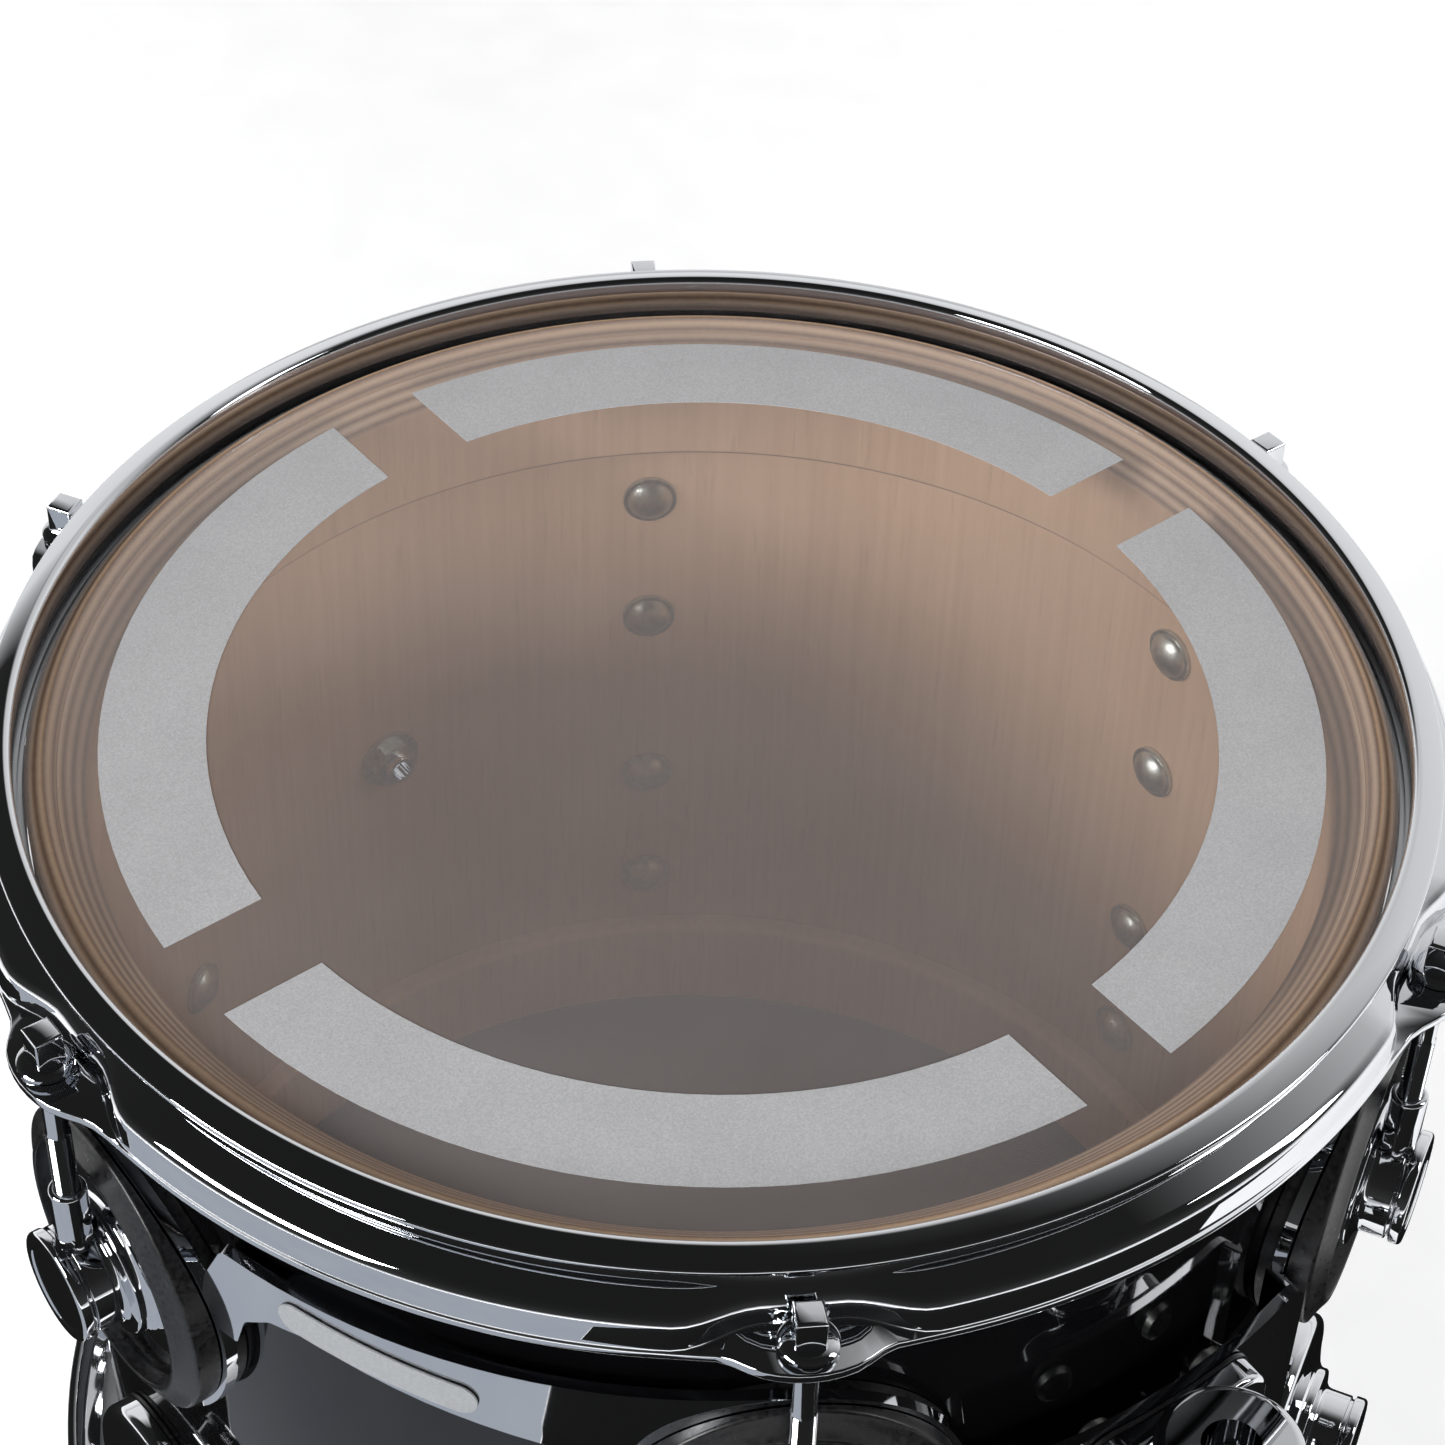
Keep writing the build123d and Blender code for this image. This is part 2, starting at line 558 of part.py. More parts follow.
hub = rod_x(wing_hub_radius, nut_start, nut_end, clamp_z)
hub = fillet(hub.edges().sort_by(Axis.X)[-1], 1.2)
wing_outline = [
    (nut_start + 1.5, wing_hub_radius - 2.5), (nut_end - 1.0, wing_hub_radius - 2.5),
    (nut_end + 8.0, wing_span / 2 - 5), (nut_end + 6.0, wing_span / 2), (nut_end - 2.0, wing_span / 2 - 4),
]
wing_face = make_face(FilletPolyline(*wing_outline, radius=[1.0, 3.0, 3.5, 3.0, 1.0], close=True))
wing = Pos(0, 0, clamp_z) * (extrude(wing_face, amount=2.2, both=True))
wings = wing + Pos(0, 0, 2 * clamp_z) * Rot(180, 0, 0) * wing
wing_nut = (hub + wings) - rod_x(eyebolt_radius + thread_clearance, nut_seat, shank_end + 5, clamp_z)
write("wing_nut", at_clamp(wing_nut))


# ---------------------------------------------------------------- badge and vent
def at_vent(piece):
    return Rot(0, 0, vent_angle) * Pos(0, 0, middle) * piece


badge_skin_inner = shell_radius + glue_gap
badge_skin_outer = badge_skin_inner + badge_thickness
badge_disc = Rot(0, 0, vent_angle) * rod_x(badge_radius, inside_start, lug_end, middle)
badge_disc -= Rot(0, 0, vent_angle) * rod_x(vent_hole_radius, inside_start, lug_end, middle)
write("badge", badge_disc & drum_skin(badge_skin_inner, badge_skin_outer))

washer_front = sqrt(shell_inside ** 2 - vent_washer_radius ** 2) - 0.1
washer_back = washer_front - 1.2
nut_back = washer_back - 0.05 - vent_nut_height
tube_back = nut_back - 1.5
flange_back = badge_skin_outer + 0.1
vent = turned_x([
    (tube_back, vent_bore_radius), (tube_back, vent_tube_radius - 0.3), (tube_back + 0.4, vent_tube_radius),
    (flange_back, vent_tube_radius), (flange_back, vent_flange_radius),
    (flange_back + vent_flange_height * 0.5, vent_flange_radius - 0.2),
    (flange_back + vent_flange_height, vent_bore_radius + 1.6),
    (flange_back + vent_flange_height, vent_bore_radius + 0.6), (flange_back, vent_bore_radius),
])
write("vent_eyelet", at_vent(vent))
vent_washer = rod_x(vent_washer_radius, washer_back, washer_front) - rod_x(vent_hole_radius, 0, shell_radius)
write("vent_washer", at_vent(vent_washer))
nut_face = Plane.YZ * RegularPolygon(vent_nut_radius, 6)
vent_nut = Pos(nut_back, 0, 0) * extrude(nut_face, amount=vent_nut_height, dir=(1, 0, 0))
vent_nut -= rod_x(vent_tube_radius + thread_clearance, 0, shell_radius)
write("vent_nut", at_vent(vent_nut))
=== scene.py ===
import math

import bmesh
import bpy
from mathutils import Matrix, Vector


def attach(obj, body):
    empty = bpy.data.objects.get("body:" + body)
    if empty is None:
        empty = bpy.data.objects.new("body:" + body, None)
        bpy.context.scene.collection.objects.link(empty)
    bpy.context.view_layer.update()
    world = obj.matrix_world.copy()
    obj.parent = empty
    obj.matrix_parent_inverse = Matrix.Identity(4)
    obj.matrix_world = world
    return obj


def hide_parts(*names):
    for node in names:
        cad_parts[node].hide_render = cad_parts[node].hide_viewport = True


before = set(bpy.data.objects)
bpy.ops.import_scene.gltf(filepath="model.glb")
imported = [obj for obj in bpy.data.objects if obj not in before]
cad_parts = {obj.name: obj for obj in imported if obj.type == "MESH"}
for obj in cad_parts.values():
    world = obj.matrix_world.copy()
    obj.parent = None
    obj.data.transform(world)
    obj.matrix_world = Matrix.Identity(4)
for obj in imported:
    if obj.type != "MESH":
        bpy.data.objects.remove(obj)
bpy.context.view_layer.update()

# ---------------------------------------------------------------- shell
# The body of the drum: seven millimetres of maple plies bent and glued into a tube. The outside is
# sprayed with black polyester and polished, the inside has a thin clear satin coat, and both ends
# are cut to a sharp crown with a router, which lays the plies bare as fine rings.
SHELL_RADIUS = 152.4
SHELL_WALL = 7.0
LOWER_EDGE = 8.0                 # height of the lower bearing edge
UPPER_EDGE = 262.0
MIDDLE = (LOWER_EDGE + UPPER_EDGE) / 2
CROWN_RADIUS = 148.5             # of the sharp line that the head lies on
CROWN_HALF = 0.4                 # half the width of that line
OUTER_CUT = 3.5                  # the bearing edge's cut goes this far down outside
INNER_CUT = 2.7                  # and this far down inside
VENT_RADIUS = 4.4
LUG_TURNS = [60 * k for k in range(6)]


def linear(text):
    """An sRGB hex colour as linear RGBA."""
    parts = [int(text[k:k + 2], 16) / 255 for k in (1, 3, 5)]
    return [c / 12.92 if c <= 0.04045 else ((c + 0.055) / 1.055) ** 2.4 for c in parts] + [1.0]


def add(material, kind, values=None, links=None, **settings):
    """A new node of a material, with its settings, socket values and links."""
    node = material.node_tree.nodes.new(kind)
    for name, value in settings.items():
        setattr(node, name, value)
    for key, value in (values or {}).items():
        node.inputs[key].default_value = value
    for key, source in (links or {}).items():
        material.node_tree.links.new(source, node.inputs[key])
    return node


def new_material(name):
    """An empty node material and its output."""
    material = bpy.data.materials.new(name)
    material.use_nodes = True
    material.node_tree.nodes.clear()
    return material, material.node_tree.nodes.new("ShaderNodeOutputMaterial")


def ramp_of(material, factor, stops, mode="LINEAR"):
    """A colour ramp with the given (place, colour) stops."""
    ramp = add(material, "ShaderNodeValToRGB", links={"Fac": factor})
    ramp.color_ramp.interpolation = mode
    while len(ramp.color_ramp.elements) < len(stops):
        ramp.color_ramp.elements.new(0.5)
    for element, (place, colour) in zip(ramp.color_ramp.elements, stops):
        element.position = place
        element.color = linear(colour) if isinstance(colour, str) else [colour] * 3 + [1.0]
    return ramp


def profile_edges(shape, outline, rounded):
    """The outline of (radius, height) points in the XZ plane, with rounded corners."""
    corners = [shape.verts.new((x, 0, z)) for x, z in outline]
    shape.faces.new(corners)
    for corner, radius in zip(corners, rounded):
        if radius:
            bmesh.ops.bevel(shape, geom=[corner], offset=radius, offset_type="OFFSET", affect="VERTICES",
                            segments=5, profile=0.5, material=-1)
    bmesh.ops.delete(shape, geom=shape.faces[:], context="FACES_ONLY")


def turned(outline, rounded=None, steps=288, about="Z"):
    """A bmesh in millimetres of a closed outline turned about the Z or the X axis."""
    shape = bmesh.new()
    profile_edges(shape, outline, rounded or [0] * len(outline))
    if about == "X":
        bmesh.ops.rotate(shape, verts=shape.verts[:], matrix=Matrix.Rotation(math.pi / 2, 3, "X"))
    axis = (0, 0, 1) if about == "Z" else (1, 0, 0)
    bmesh.ops.spin(shape, geom=shape.verts[:] + shape.edges[:], cent=(0, 0, 0), axis=axis, dvec=(0, 0, 0),
                   angle=2 * math.pi, steps=steps, use_merge=True, use_duplicate=False)
    bmesh.ops.remove_doubles(shape, verts=shape.verts[:], dist=0.0005)
    bmesh.ops.recalc_face_normals(shape, faces=shape.faces[:])
    return shape


def gather(shapes):
    """One bmesh from several, which are freed."""
    whole = bmesh.new()
    for shape in shapes:
        holder = bpy.data.meshes.new("holder")
        shape.to_mesh(holder)
        shape.free()
        whole.from_mesh(holder)
        bpy.data.meshes.remove(holder)
    return whole


def copied(shape, matrix):
    """A moved copy of a bmesh, with its faces still outwards."""
    other = shape.copy()
    other.transform(matrix)
    if matrix.determinant() < 0:
        bmesh.ops.reverse_faces(other, faces=other.faces[:])
    return other


def piece(name, shape, materials, body, nodes, sharp=35):
    """A finished piece from a bmesh in millimetres, which stands for CAD nodes and rides on a body."""
    bmesh.ops.scale(shape, vec=(0.001, 0.001, 0.001), verts=shape.verts[:])
    mesh = bpy.data.meshes.new(name)
    shape.to_mesh(mesh)
    shape.free()
    mesh.shade_smooth()
    mesh.set_sharp_from_angle(angle=math.radians(sharp))
    for material in materials:
        mesh.materials.append(material)
    thing = bpy.data.objects.new(name, mesh)
    bpy.context.scene.collection.objects.link(thing)
    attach(thing, body)
    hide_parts(*nodes)
    return thing


def carve(thing, cutter_shape):
    """Cuts the cutter's volume out of a finished piece."""
    bmesh.ops.scale(cutter_shape, vec=(0.001, 0.001, 0.001), verts=cutter_shape.verts[:])
    mesh = bpy.data.meshes.new("cutter")
    cutter_shape.to_mesh(mesh)
    cutter_shape.free()
    cutter = bpy.data.objects.new("cutter", mesh)
    bpy.context.scene.collection.objects.link(cutter)
    cut = thing.modifiers.new("cut", "BOOLEAN")
    cut.object = cutter
    cut.operation = "DIFFERENCE"
    cut.solver = "EXACT"
    result = bpy.data.meshes.new_from_object(thing.evaluated_get(bpy.context.evaluated_depsgraph_get()))
    thing.modifiers.clear()
    thing.data = result
    bpy.data.objects.remove(cutter)
    result.set_sharp_from_angle(angle=math.radians(35))


def round_bar(radius, start, end, about="X", steps=48):
    """A plain round bar in millimetres from start to end along X or Z."""
    bar = bmesh.new()
    bmesh.ops.create_cone(bar, cap_ends=True, segments=steps, radius1=radius, radius2=radius,
                          depth=end - start)
    bmesh.ops.translate(bar, vec=(0, 0, (start + end) / 2), verts=bar.verts[:])
    if about == "X":
        bmesh.ops.rotate(bar, verts=bar.verts[:], matrix=Matrix.Rotation(math.pi / 2, 3, "Y"))
    return bar


def place(turn=0.0, height=0.0, flip=False):
    """Turned about the drum's axis and raised; flip is the lower end's mirror image."""
    moved = Matrix.Rotation(math.radians(turn), 4, "Z") @ Matrix.Translation((0, 0, height))
    if flip:
        return Matrix.Translation((0, 0, 2 * MIDDLE)) @ Matrix.Scale(-1, 4, (0, 0, 1)) @ moved
    return moved


# Polished black polyester: deep and wet looking, with a very faint orange peel and hairline marks
# left by the polishing wheel.
LACQUER_BLACK = "#060607"
lacquer, out = new_material("polished_black_polyester")
where = add(lacquer, "ShaderNodeTexCoord").outputs["Object"]
peel = add(lacquer, "ShaderNodeTexNoise", {"Scale": 160.0, "Detail": 1.0}, {"Vector": where})
hairline_map = add(lacquer, "ShaderNodeMapping", {"Scale": (900.0, 900.0, 18.0)}, {"Vector": where})
hairline = add(lacquer, "ShaderNodeTexNoise", {"Scale": 1.0, "Detail": 2.0},
               {"Vector": hairline_map.outputs[0]})
rough = add(lacquer, "ShaderNodeMapRange",
            {"From Min": 0.45, "From Max": 0.8, "To Min": 0.035, "To Max": 0.075},
            {"Value": hairline.outputs["Fac"]})
bump = add(lacquer, "ShaderNodeBump", {"Strength": 0.04, "Distance": 0.0002}, {"Height": peel.outputs["Fac"]})
skin = add(lacquer, "ShaderNodeBsdfPrincipled", {"Base Color": linear(LACQUER_BLACK), "IOR": 1.5},
           {"Roughness": rough.outputs[0], "Normal": bump.outputs[0]})
lacquer.node_tree.links.new(skin.outputs[0], out.inputs["Surface"])

# Clear-coated maple: pale, with a close straight grain that runs up and down, as the inner ply's does,
# small pore dashes and slow changes of tone between the veneer's bands.
MAPLE_LIGHT = "#D3B092"
MAPLE_MIDDLE = "#C9A687"
MAPLE_DARK = "#BE9A7C"
maple, out = new_material("clear_coated_maple")
where = add(maple, "ShaderNodeTexCoord").outputs["Object"]
grain_map = add(maple, "ShaderNodeMapping", {"Scale": (340.0, 340.0, 9.0)}, {"Vector": where})
grain = add(maple, "ShaderNodeTexNoise", {"Scale": 1.0, "Detail": 6.0, "Roughness": 0.6, "Distortion": 0.1},
            {"Vector": grain_map.outputs[0]})
band_map = add(maple, "ShaderNodeMapping", {"Scale": (26.0, 26.0, 3.0)}, {"Vector": where})
band = add(maple, "ShaderNodeTexNoise", {"Scale": 1.0, "Detail": 2.0}, {"Vector": band_map.outputs[0]})
both = add(maple, "ShaderNodeMath", {1: 0.5}, {0: grain.outputs["Fac"]}, operation="MULTIPLY")
both = add(maple, "ShaderNodeMath", {1: 0.5}, {0: band.outputs["Fac"], 2: both.outputs[0]},
           operation="MULTIPLY_ADD")
tone = ramp_of(maple, both.outputs[0], [(0.3, MAPLE_DARK), (0.5, MAPLE_MIDDLE), (0.7, MAPLE_LIGHT)])
pore_map = add(maple, "ShaderNodeMapping", {"Scale": (900.0, 900.0, 60.0)}, {"Vector": where})
pore = add(maple, "ShaderNodeTexNoise", {"Scale": 1.0, "Detail": 2.0}, {"Vector": pore_map.outputs[0]})
dash = ramp_of(maple, pore.outputs["Fac"], [(0.62, 1.0), (0.7, 0.9)])
mixed = add(maple, "ShaderNodeMix", {0: 1.0}, {6: tone.outputs[0], 7: dash.outputs[0]}, data_type="RGBA",
            blend_type="MULTIPLY")
bump = add(maple, "ShaderNodeBump", {"Strength": 0.15, "Distance": 0.0002}, {"Height": grain.outputs["Fac"]})
skin = add(maple, "ShaderNodeBsdfPrincipled", {"Roughness": 0.42, "IOR": 1.5},
           {"Base Color": mixed.outputs[2], "Normal": bump.outputs[0]})
maple.node_tree.links.new(skin.outputs[0], out.inputs["Surface"])

# The routed edge shows the plies as rings, light and dark by turns, sealed with a little clear coat.
plies, out = new_material("routed_maple_plies")
where = add(plies, "ShaderNodeTexCoord").outputs["Object"]
flat = add(plies, "ShaderNodeVectorMath", {1: (1.0, 1.0, 0.0)}, {0: where}, operation="MULTIPLY")
radius = add(plies, "ShaderNodeVectorMath", links={0: flat.outputs[0]}, operation="LENGTH")
ring = add(plies, "ShaderNodeMath", {1: 0.001}, {0: radius.outputs["Value"]}, operation="PINGPONG")
ply_tone = add(plies, "ShaderNodeMapRange", {"From Min": 0.0, "From Max": 0.001}, {"Value": ring.outputs[0]})
speck = add(plies, "ShaderNodeTexNoise", {"Scale": 700.0, "Detail": 3.0}, {"Vector": where})
stir = add(plies, "ShaderNodeMath", {1: 0.35}, {0: speck.outputs["Fac"], 2: ply_tone.outputs[0]},
           operation="MULTIPLY_ADD")
tone = ramp_of(plies, stir.outputs[0], [(0.25, "#7E6450"), (0.6, "#A3856C"), (1.0, "#C2A68C")])
skin = add(plies, "ShaderNodeBsdfPrincipled", {"Roughness": 0.5}, {"Base Color": tone.outputs[0]})
plies.node_tree.links.new(skin.outputs[0], out.inputs["Surface"])

shell_shape = turned([
    (SHELL_RADIUS - SHELL_WALL, LOWER_EDGE + INNER_CUT), (CROWN_RADIUS - CROWN_HALF, LOWER_EDGE),
    (CROWN_RADIUS + CROWN_HALF, LOWER_EDGE), (SHELL_RADIUS, LOWER_EDGE + OUTER_CUT),
    (SHELL_RADIUS, UPPER_EDGE - OUTER_CUT), (CROWN_RADIUS + CROWN_HALF, UPPER_EDGE),
    (CROWN_RADIUS - CROWN_HALF, UPPER_EDGE), (SHELL_RADIUS - SHELL_WALL, UPPER_EDGE - INNER_CUT),
], [0.3, 0.3, 0.3, 0.4, 0.4, 0.3, 0.3, 0.3], steps=320)
for face in shell_shape.faces:
    middle = face.calc_center_median()
    out_there = math.hypot(middle.x, middle.y)
    upright = abs(face.normal.z) < 0.2
    face.material_index = 2 if not upright else (0 if out_there > SHELL_RADIUS - 1 else 1)
shell = piece("shell_tube", shell_shape, [lacquer, maple, plies], "drum", ["shell"])
BORE_START = 120                 # the vent's hole is cut right through the wall, from inside
BORE_END = 160
vent_bore = round_bar(VENT_RADIUS, BORE_START, BORE_END)
bmesh.ops.transform(vent_bore, matrix=place(90, MIDDLE), verts=vent_bore.verts[:])
carve(shell, vent_bore)

# ---------------------------------------------------------------- reinforcement rings
# Two hoops of maple, six millimetres thick, glued inside the ends of the shell to keep them round.
# The inner corner away from the edge is rounded by hand sanding.
RING_INSIDE = 139.4
RING_OUTSIDE = 145.35            # glued to the shell's inner face
RING_TOP = UPPER_EDGE - 3.0
RING_BEVEL = 5.9                 # drop of the top face towards the inside
RING_FOOT = UPPER_EDGE - 38
ring_outline = [
    (RING_OUTSIDE, RING_TOP), (RING_INSIDE, RING_TOP - RING_BEVEL), (RING_INSIDE, RING_FOOT),
    (RING_OUTSIDE, RING_FOOT),
]
ring_shape = turned(ring_outline, [0.3, 0.6, 2.0, 0.2], steps=240)
for face in ring_shape.faces:
    face.material_index = 1 if abs(face.normal.z) > 0.3 else 0
lower_ring_shape = copied(ring_shape, place(flip=True))
piece("ring_upper", ring_shape, [maple, plies], "drum", ["reinforcement_ring_upper"])
piece("ring_lower", lower_ring_shape, [maple, maple], "drum", ["reinforcement_ring_lower"])

# ---------------------------------------------------------------- lug screws and washers
# Zinc-plated steel screws with domed heads hold every lug from inside the shell, each on a flat
# washer. The plating is bright, slightly bluish and a little cloudy.
zinc, out = new_material("zinc_plated_steel")
where = add(zinc, "ShaderNodeTexCoord").outputs["Object"]
cloud = add(zinc, "ShaderNodeTexNoise", {"Scale": 350.0, "Detail": 4.0}, {"Vector": where})
tone = ramp_of(zinc, cloud.outputs["Fac"], [(0.35, "#B9BDB8"), (0.65, "#D6D9D3")])
rough = add(zinc, "ShaderNodeMapRange", {"From Min": 0.3, "From Max": 0.7, "To Min": 0.34, "To Max": 0.46},
            {"Value": cloud.outputs["Fac"]})
skin = add(zinc, "ShaderNodeBsdfPrincipled", {"Metallic": 1.0},
           {"Base Color": tone.outputs[0], "Roughness": rough.outputs[0]})
zinc.node_tree.links.new(skin.outputs[0], out.inputs["Surface"])


def dress(node, material):
    """Gives a CAD node that is shown as it is its real finish."""
    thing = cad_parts[node]
    thing.data.materials.clear()
    thing.data.materials.append(material)


SCREW_HEAD = 6.0
SCREW_SHANK = 2.4
screw_outline = [
    (140.9, 0), (141.0, 1.8), (141.9, 4.0), (143.1, 5.5), (143.9, SCREW_HEAD), (144.1, SCREW_HEAD),
    (144.1, SCREW_SHANK), (157.0, SCREW_SHANK), (157.0, 0),
]
LUG_HEIGHT = 77.0                # of a lug's axis below the bearing edge
SCREW_OFFSET = 20.5              # of a lug's two screws above and below its axis
screws = []
for turn in LUG_TURNS:
    for height in (UPPER_EDGE - LUG_HEIGHT, LOWER_EDGE + LUG_HEIGHT):
        for side in (SCREW_OFFSET, -SCREW_OFFSET):
            screw = turned(screw_outline, steps=36, about="X")
            bmesh.ops.transform(screw, matrix=place(turn, height + side), verts=screw.verts[:])
            screws.append(screw)
piece("lug_screw_set", gather(screws), [zinc], "drum", ["lug_screws"], sharp=50)
dress("lug_screw_washers", zinc)

# ---------------------------------------------------------------- lugs
# Turret lugs: each is turned and die-cast in one piece, a round base that follows the shell, a
# collar and a barrel with a rimmed end. They are copper, nickel and chrome plated to a mirror.
CHROME = "#DADCDF"
chrome, out = new_material("chrome_plate")
where = add(chrome, "ShaderNodeTexCoord").outputs["Object"]
film_of_touch = add(chrome, "ShaderNodeTexNoise", {"Scale": 40.0, "Detail": 3.0}, {"Vector": where})
rough = add(chrome, "ShaderNodeMapRange", {"From Min": 0.45, "From Max": 0.8, "To Min": 0.02, "To Max": 0.05},
            {"Value": film_of_touch.outputs["Fac"]})
skin = add(chrome, "ShaderNodeBsdfPrincipled", {"Base Color": linear(CHROME), "Metallic": 1.0},
           {"Roughness": rough.outputs[0]})
chrome.node_tree.links.new(skin.outputs[0], out.inputs["Surface"])

BASE_SEAT = 153.85               # radius of the face that lies on the gasket
BACK_FACE = 140                  # where a turned blank ends before its back is bent to a curve
LUG_BASE = 29.0                  # radius of the round base
BARREL = 12.8                    # radius of the barrel
lug_outline = [
    (BACK_FACE, LUG_BASE), (157.3, LUG_BASE), (158.7, 27.2), (159.4, 21.5), (160.6, 18.2), (161.4, 17.0),
    (163.2, 17.0), (163.9, 13.6), (164.9, BARREL), (170.7, BARREL), (170.7, 12.1), (171.6, 12.1),
    (171.6, 13.2), (174.5, 13.2), (174.5, 10.6), (174.1, 9.8), (174.1, 0), (BACK_FACE, 0),
]
lug_rounding = [0, 1.2, 1.5, 6.0, 1.0, 0.6, 0.6, 0.7, 0.7, 0.25, 0.2, 0.2, 0.5, 0.9, 0.3, 0.3, 0, 0]
one_lug = turned(lug_outline, lug_rounding, steps=96, about="X")
for vertex in one_lug.verts:
    if vertex.co.x < BACK_FACE + 1:
        vertex.co.x = math.sqrt(BASE_SEAT ** 2 - vertex.co.y ** 2)
lugs_up = [copied(one_lug, place(turn, UPPER_EDGE - LUG_HEIGHT)) for turn in LUG_TURNS]
lugs_down = [copied(one_lug, place(turn, UPPER_EDGE - LUG_HEIGHT, True)) for turn in LUG_TURNS]
one_lug.free()
piece("lug_row_upper", gather(lugs_up), [chrome], "drum", ["lugs_upper"])
piece("lug_row_lower", gather(lugs_down), [chrome], "drum", ["lugs_lower"])

# ---------------------------------------------------------------- rod receivers
# A plated steel tube screwed down through each barrel. Its thread takes the tension rod.
ROD_CIRCLE = 168.0
RECEIVER_BORE = 2.85
RECEIVER_RADIUS = 4.2
RECEIVER_LENGTH = 35.8
RECEIVER_FOOT = UPPER_EDGE - LUG_HEIGHT - 6
receiver_outline = [
    (RECEIVER_BORE, 0), (RECEIVER_RADIUS, 0), (RECEIVER_RADIUS, RECEIVER_LENGTH),
    (RECEIVER_BORE, RECEIVER_LENGTH),
]
one_receiver = turned(receiver_outline, [0, 0.5, 1.0, 0.3], steps=40)
bmesh.ops.translate(one_receiver, vec=(ROD_CIRCLE, 0, RECEIVER_FOOT), verts=one_receiver.verts[:])
receivers_up = [copied(one_receiver, place(turn)) for turn in LUG_TURNS]
receivers_down = [copied(one_receiver, place(turn, 0, True)) for turn in LUG_TURNS]
one_receiver.free()
piece("receiver_row_upper", gather(receivers_up), [chrome], "drum", ["rod_receivers_upper"])
piece("receiver_row_lower", gather(receivers_down), [chrome], "drum", ["rod_receivers_lower"])

# ---------------------------------------------------------------- rubber parts
# Black moulded rubber: thin gaskets under the lugs, rings in the suspension plate's eyes with a
# dished flange in front, and flat rings between plate and shell. Semi-matt, with a fine grain.
rubber, out = new_material("moulded_black_rubber")
where = add(rubber, "ShaderNodeTexCoord").outputs["Object"]
dust = add(rubber, "ShaderNodeTexNoise", {"Scale": 900.0, "Detail": 3.0}, {"Vector": where})
tone = ramp_of(rubber, dust.outputs["Fac"], [(0.4, "#0B0B0C"), (0.75, "#1D1D1F")])
rough = add(rubber, "ShaderNodeMapRange", {"From Min": 0.3, "From Max": 0.7, "To Min": 0.26, "To Max": 0.42},
            {"Value": dust.outputs["Fac"]})
bump = add(rubber, "ShaderNodeBump", {"Strength": 0.1, "Distance": 0.0001}, {"Height": dust.outputs["Fac"]})
skin = add(rubber, "ShaderNodeBsdfPrincipled", {"IOR": 1.52},
           {"Base Color": tone.outputs[0], "Roughness": rough.outputs[0], "Normal": bump.outputs[0]})
rubber.node_tree.links.new(skin.outputs[0], out.inputs["Surface"])
for node in ("lug_gaskets_upper", "lug_gaskets_lower", "suspension_spacers", "clamp_pad"):
    dress(node, rubber)

PLATE_TURNS = [-120, -60, -180]
PLATE_OUTSIDE = 158.6
RUBBER_BORE = 29.5
DISH_RADIUS = 36.6
SLEEVE_RADIUS = 32.7
SLEEVE_BACK = 156.1
dish_outline = [
    (BACK_FACE, RUBBER_BORE), (BACK_FACE, DISH_RADIUS), (160.2, DISH_RADIUS), (161.6, 33.0), (163.1, 30.6),
    (163.1, RUBBER_BORE),
]
one_dish = turned(dish_outline, [0, 0, 0.7, 2.0, 0.4, 0.3], steps=96, about="X")
for vertex in one_dish.verts:
    if vertex.co.x < BACK_FACE + 1:
        vertex.co.x = math.sqrt((PLATE_OUTSIDE + 0.3) ** 2 - vertex.co.y ** 2)
dishes = [copied(one_dish, place(turn, UPPER_EDGE - LUG_HEIGHT)) for turn in PLATE_TURNS]
one_dish.free()
sleeve_outline = [(155.9, RUBBER_BORE), (155.9, SLEEVE_RADIUS), (160.0, SLEEVE_RADIUS), (160.0, RUBBER_BORE)]
one_sleeve = turned(sleeve_outline, steps=96, about="X")
for vertex in one_sleeve.verts:
    vertex.co.x += math.sqrt(SLEEVE_BACK ** 2 - vertex.co.y ** 2) - SLEEVE_BACK
dishes += [copied(one_sleeve, place(turn, UPPER_EDGE - LUG_HEIGHT)) for turn in PLATE_TURNS]
one_sleeve.free()
piece("suspension_rings", gather(dishes), [rubber], "drum", ["suspension_grommets"])

# ---------------------------------------------------------------- suspension plate and its label
# A chromed steel plate bent round the shell. Three round eyes hang on the lugs' rubber rings, and
# the middle stands proud to carry the arm clamp. A blank oval label is stuck on the left arm.
dress("suspension_plate", chrome)
label_metal, out = new_material("printed_label_foil")
where = add(label_metal, "ShaderNodeTexCoord").outputs["Object"]
fleck = add(label_metal, "ShaderNodeTexNoise", {"Scale": 1200.0, "Detail": 2.0}, {"Vector": where})
tone = ramp_of(label_metal, fleck.outputs["Fac"], [(0.35, "#929496"), (0.65, "#9C9EA0")])
skin = add(label_metal, "ShaderNodeBsdfPrincipled", {"Metallic": 0.35, "Roughness": 0.45},
           {"Base Color": tone.outputs[0]})
label_metal.node_tree.links.new(skin.outputs[0], out.inputs["Surface"])
dress("plate_label", label_metal)

# ---------------------------------------------------------------- arm clamp
# A chromed die-cast block screwed through the plate. An eyebolt inside grips the tom arm when the
# wing nut is turned.
for node in ("clamp_body", "eyebolt", "wing_nut"):
    dress(node, chrome)
dress("clamp_screws", zinc)

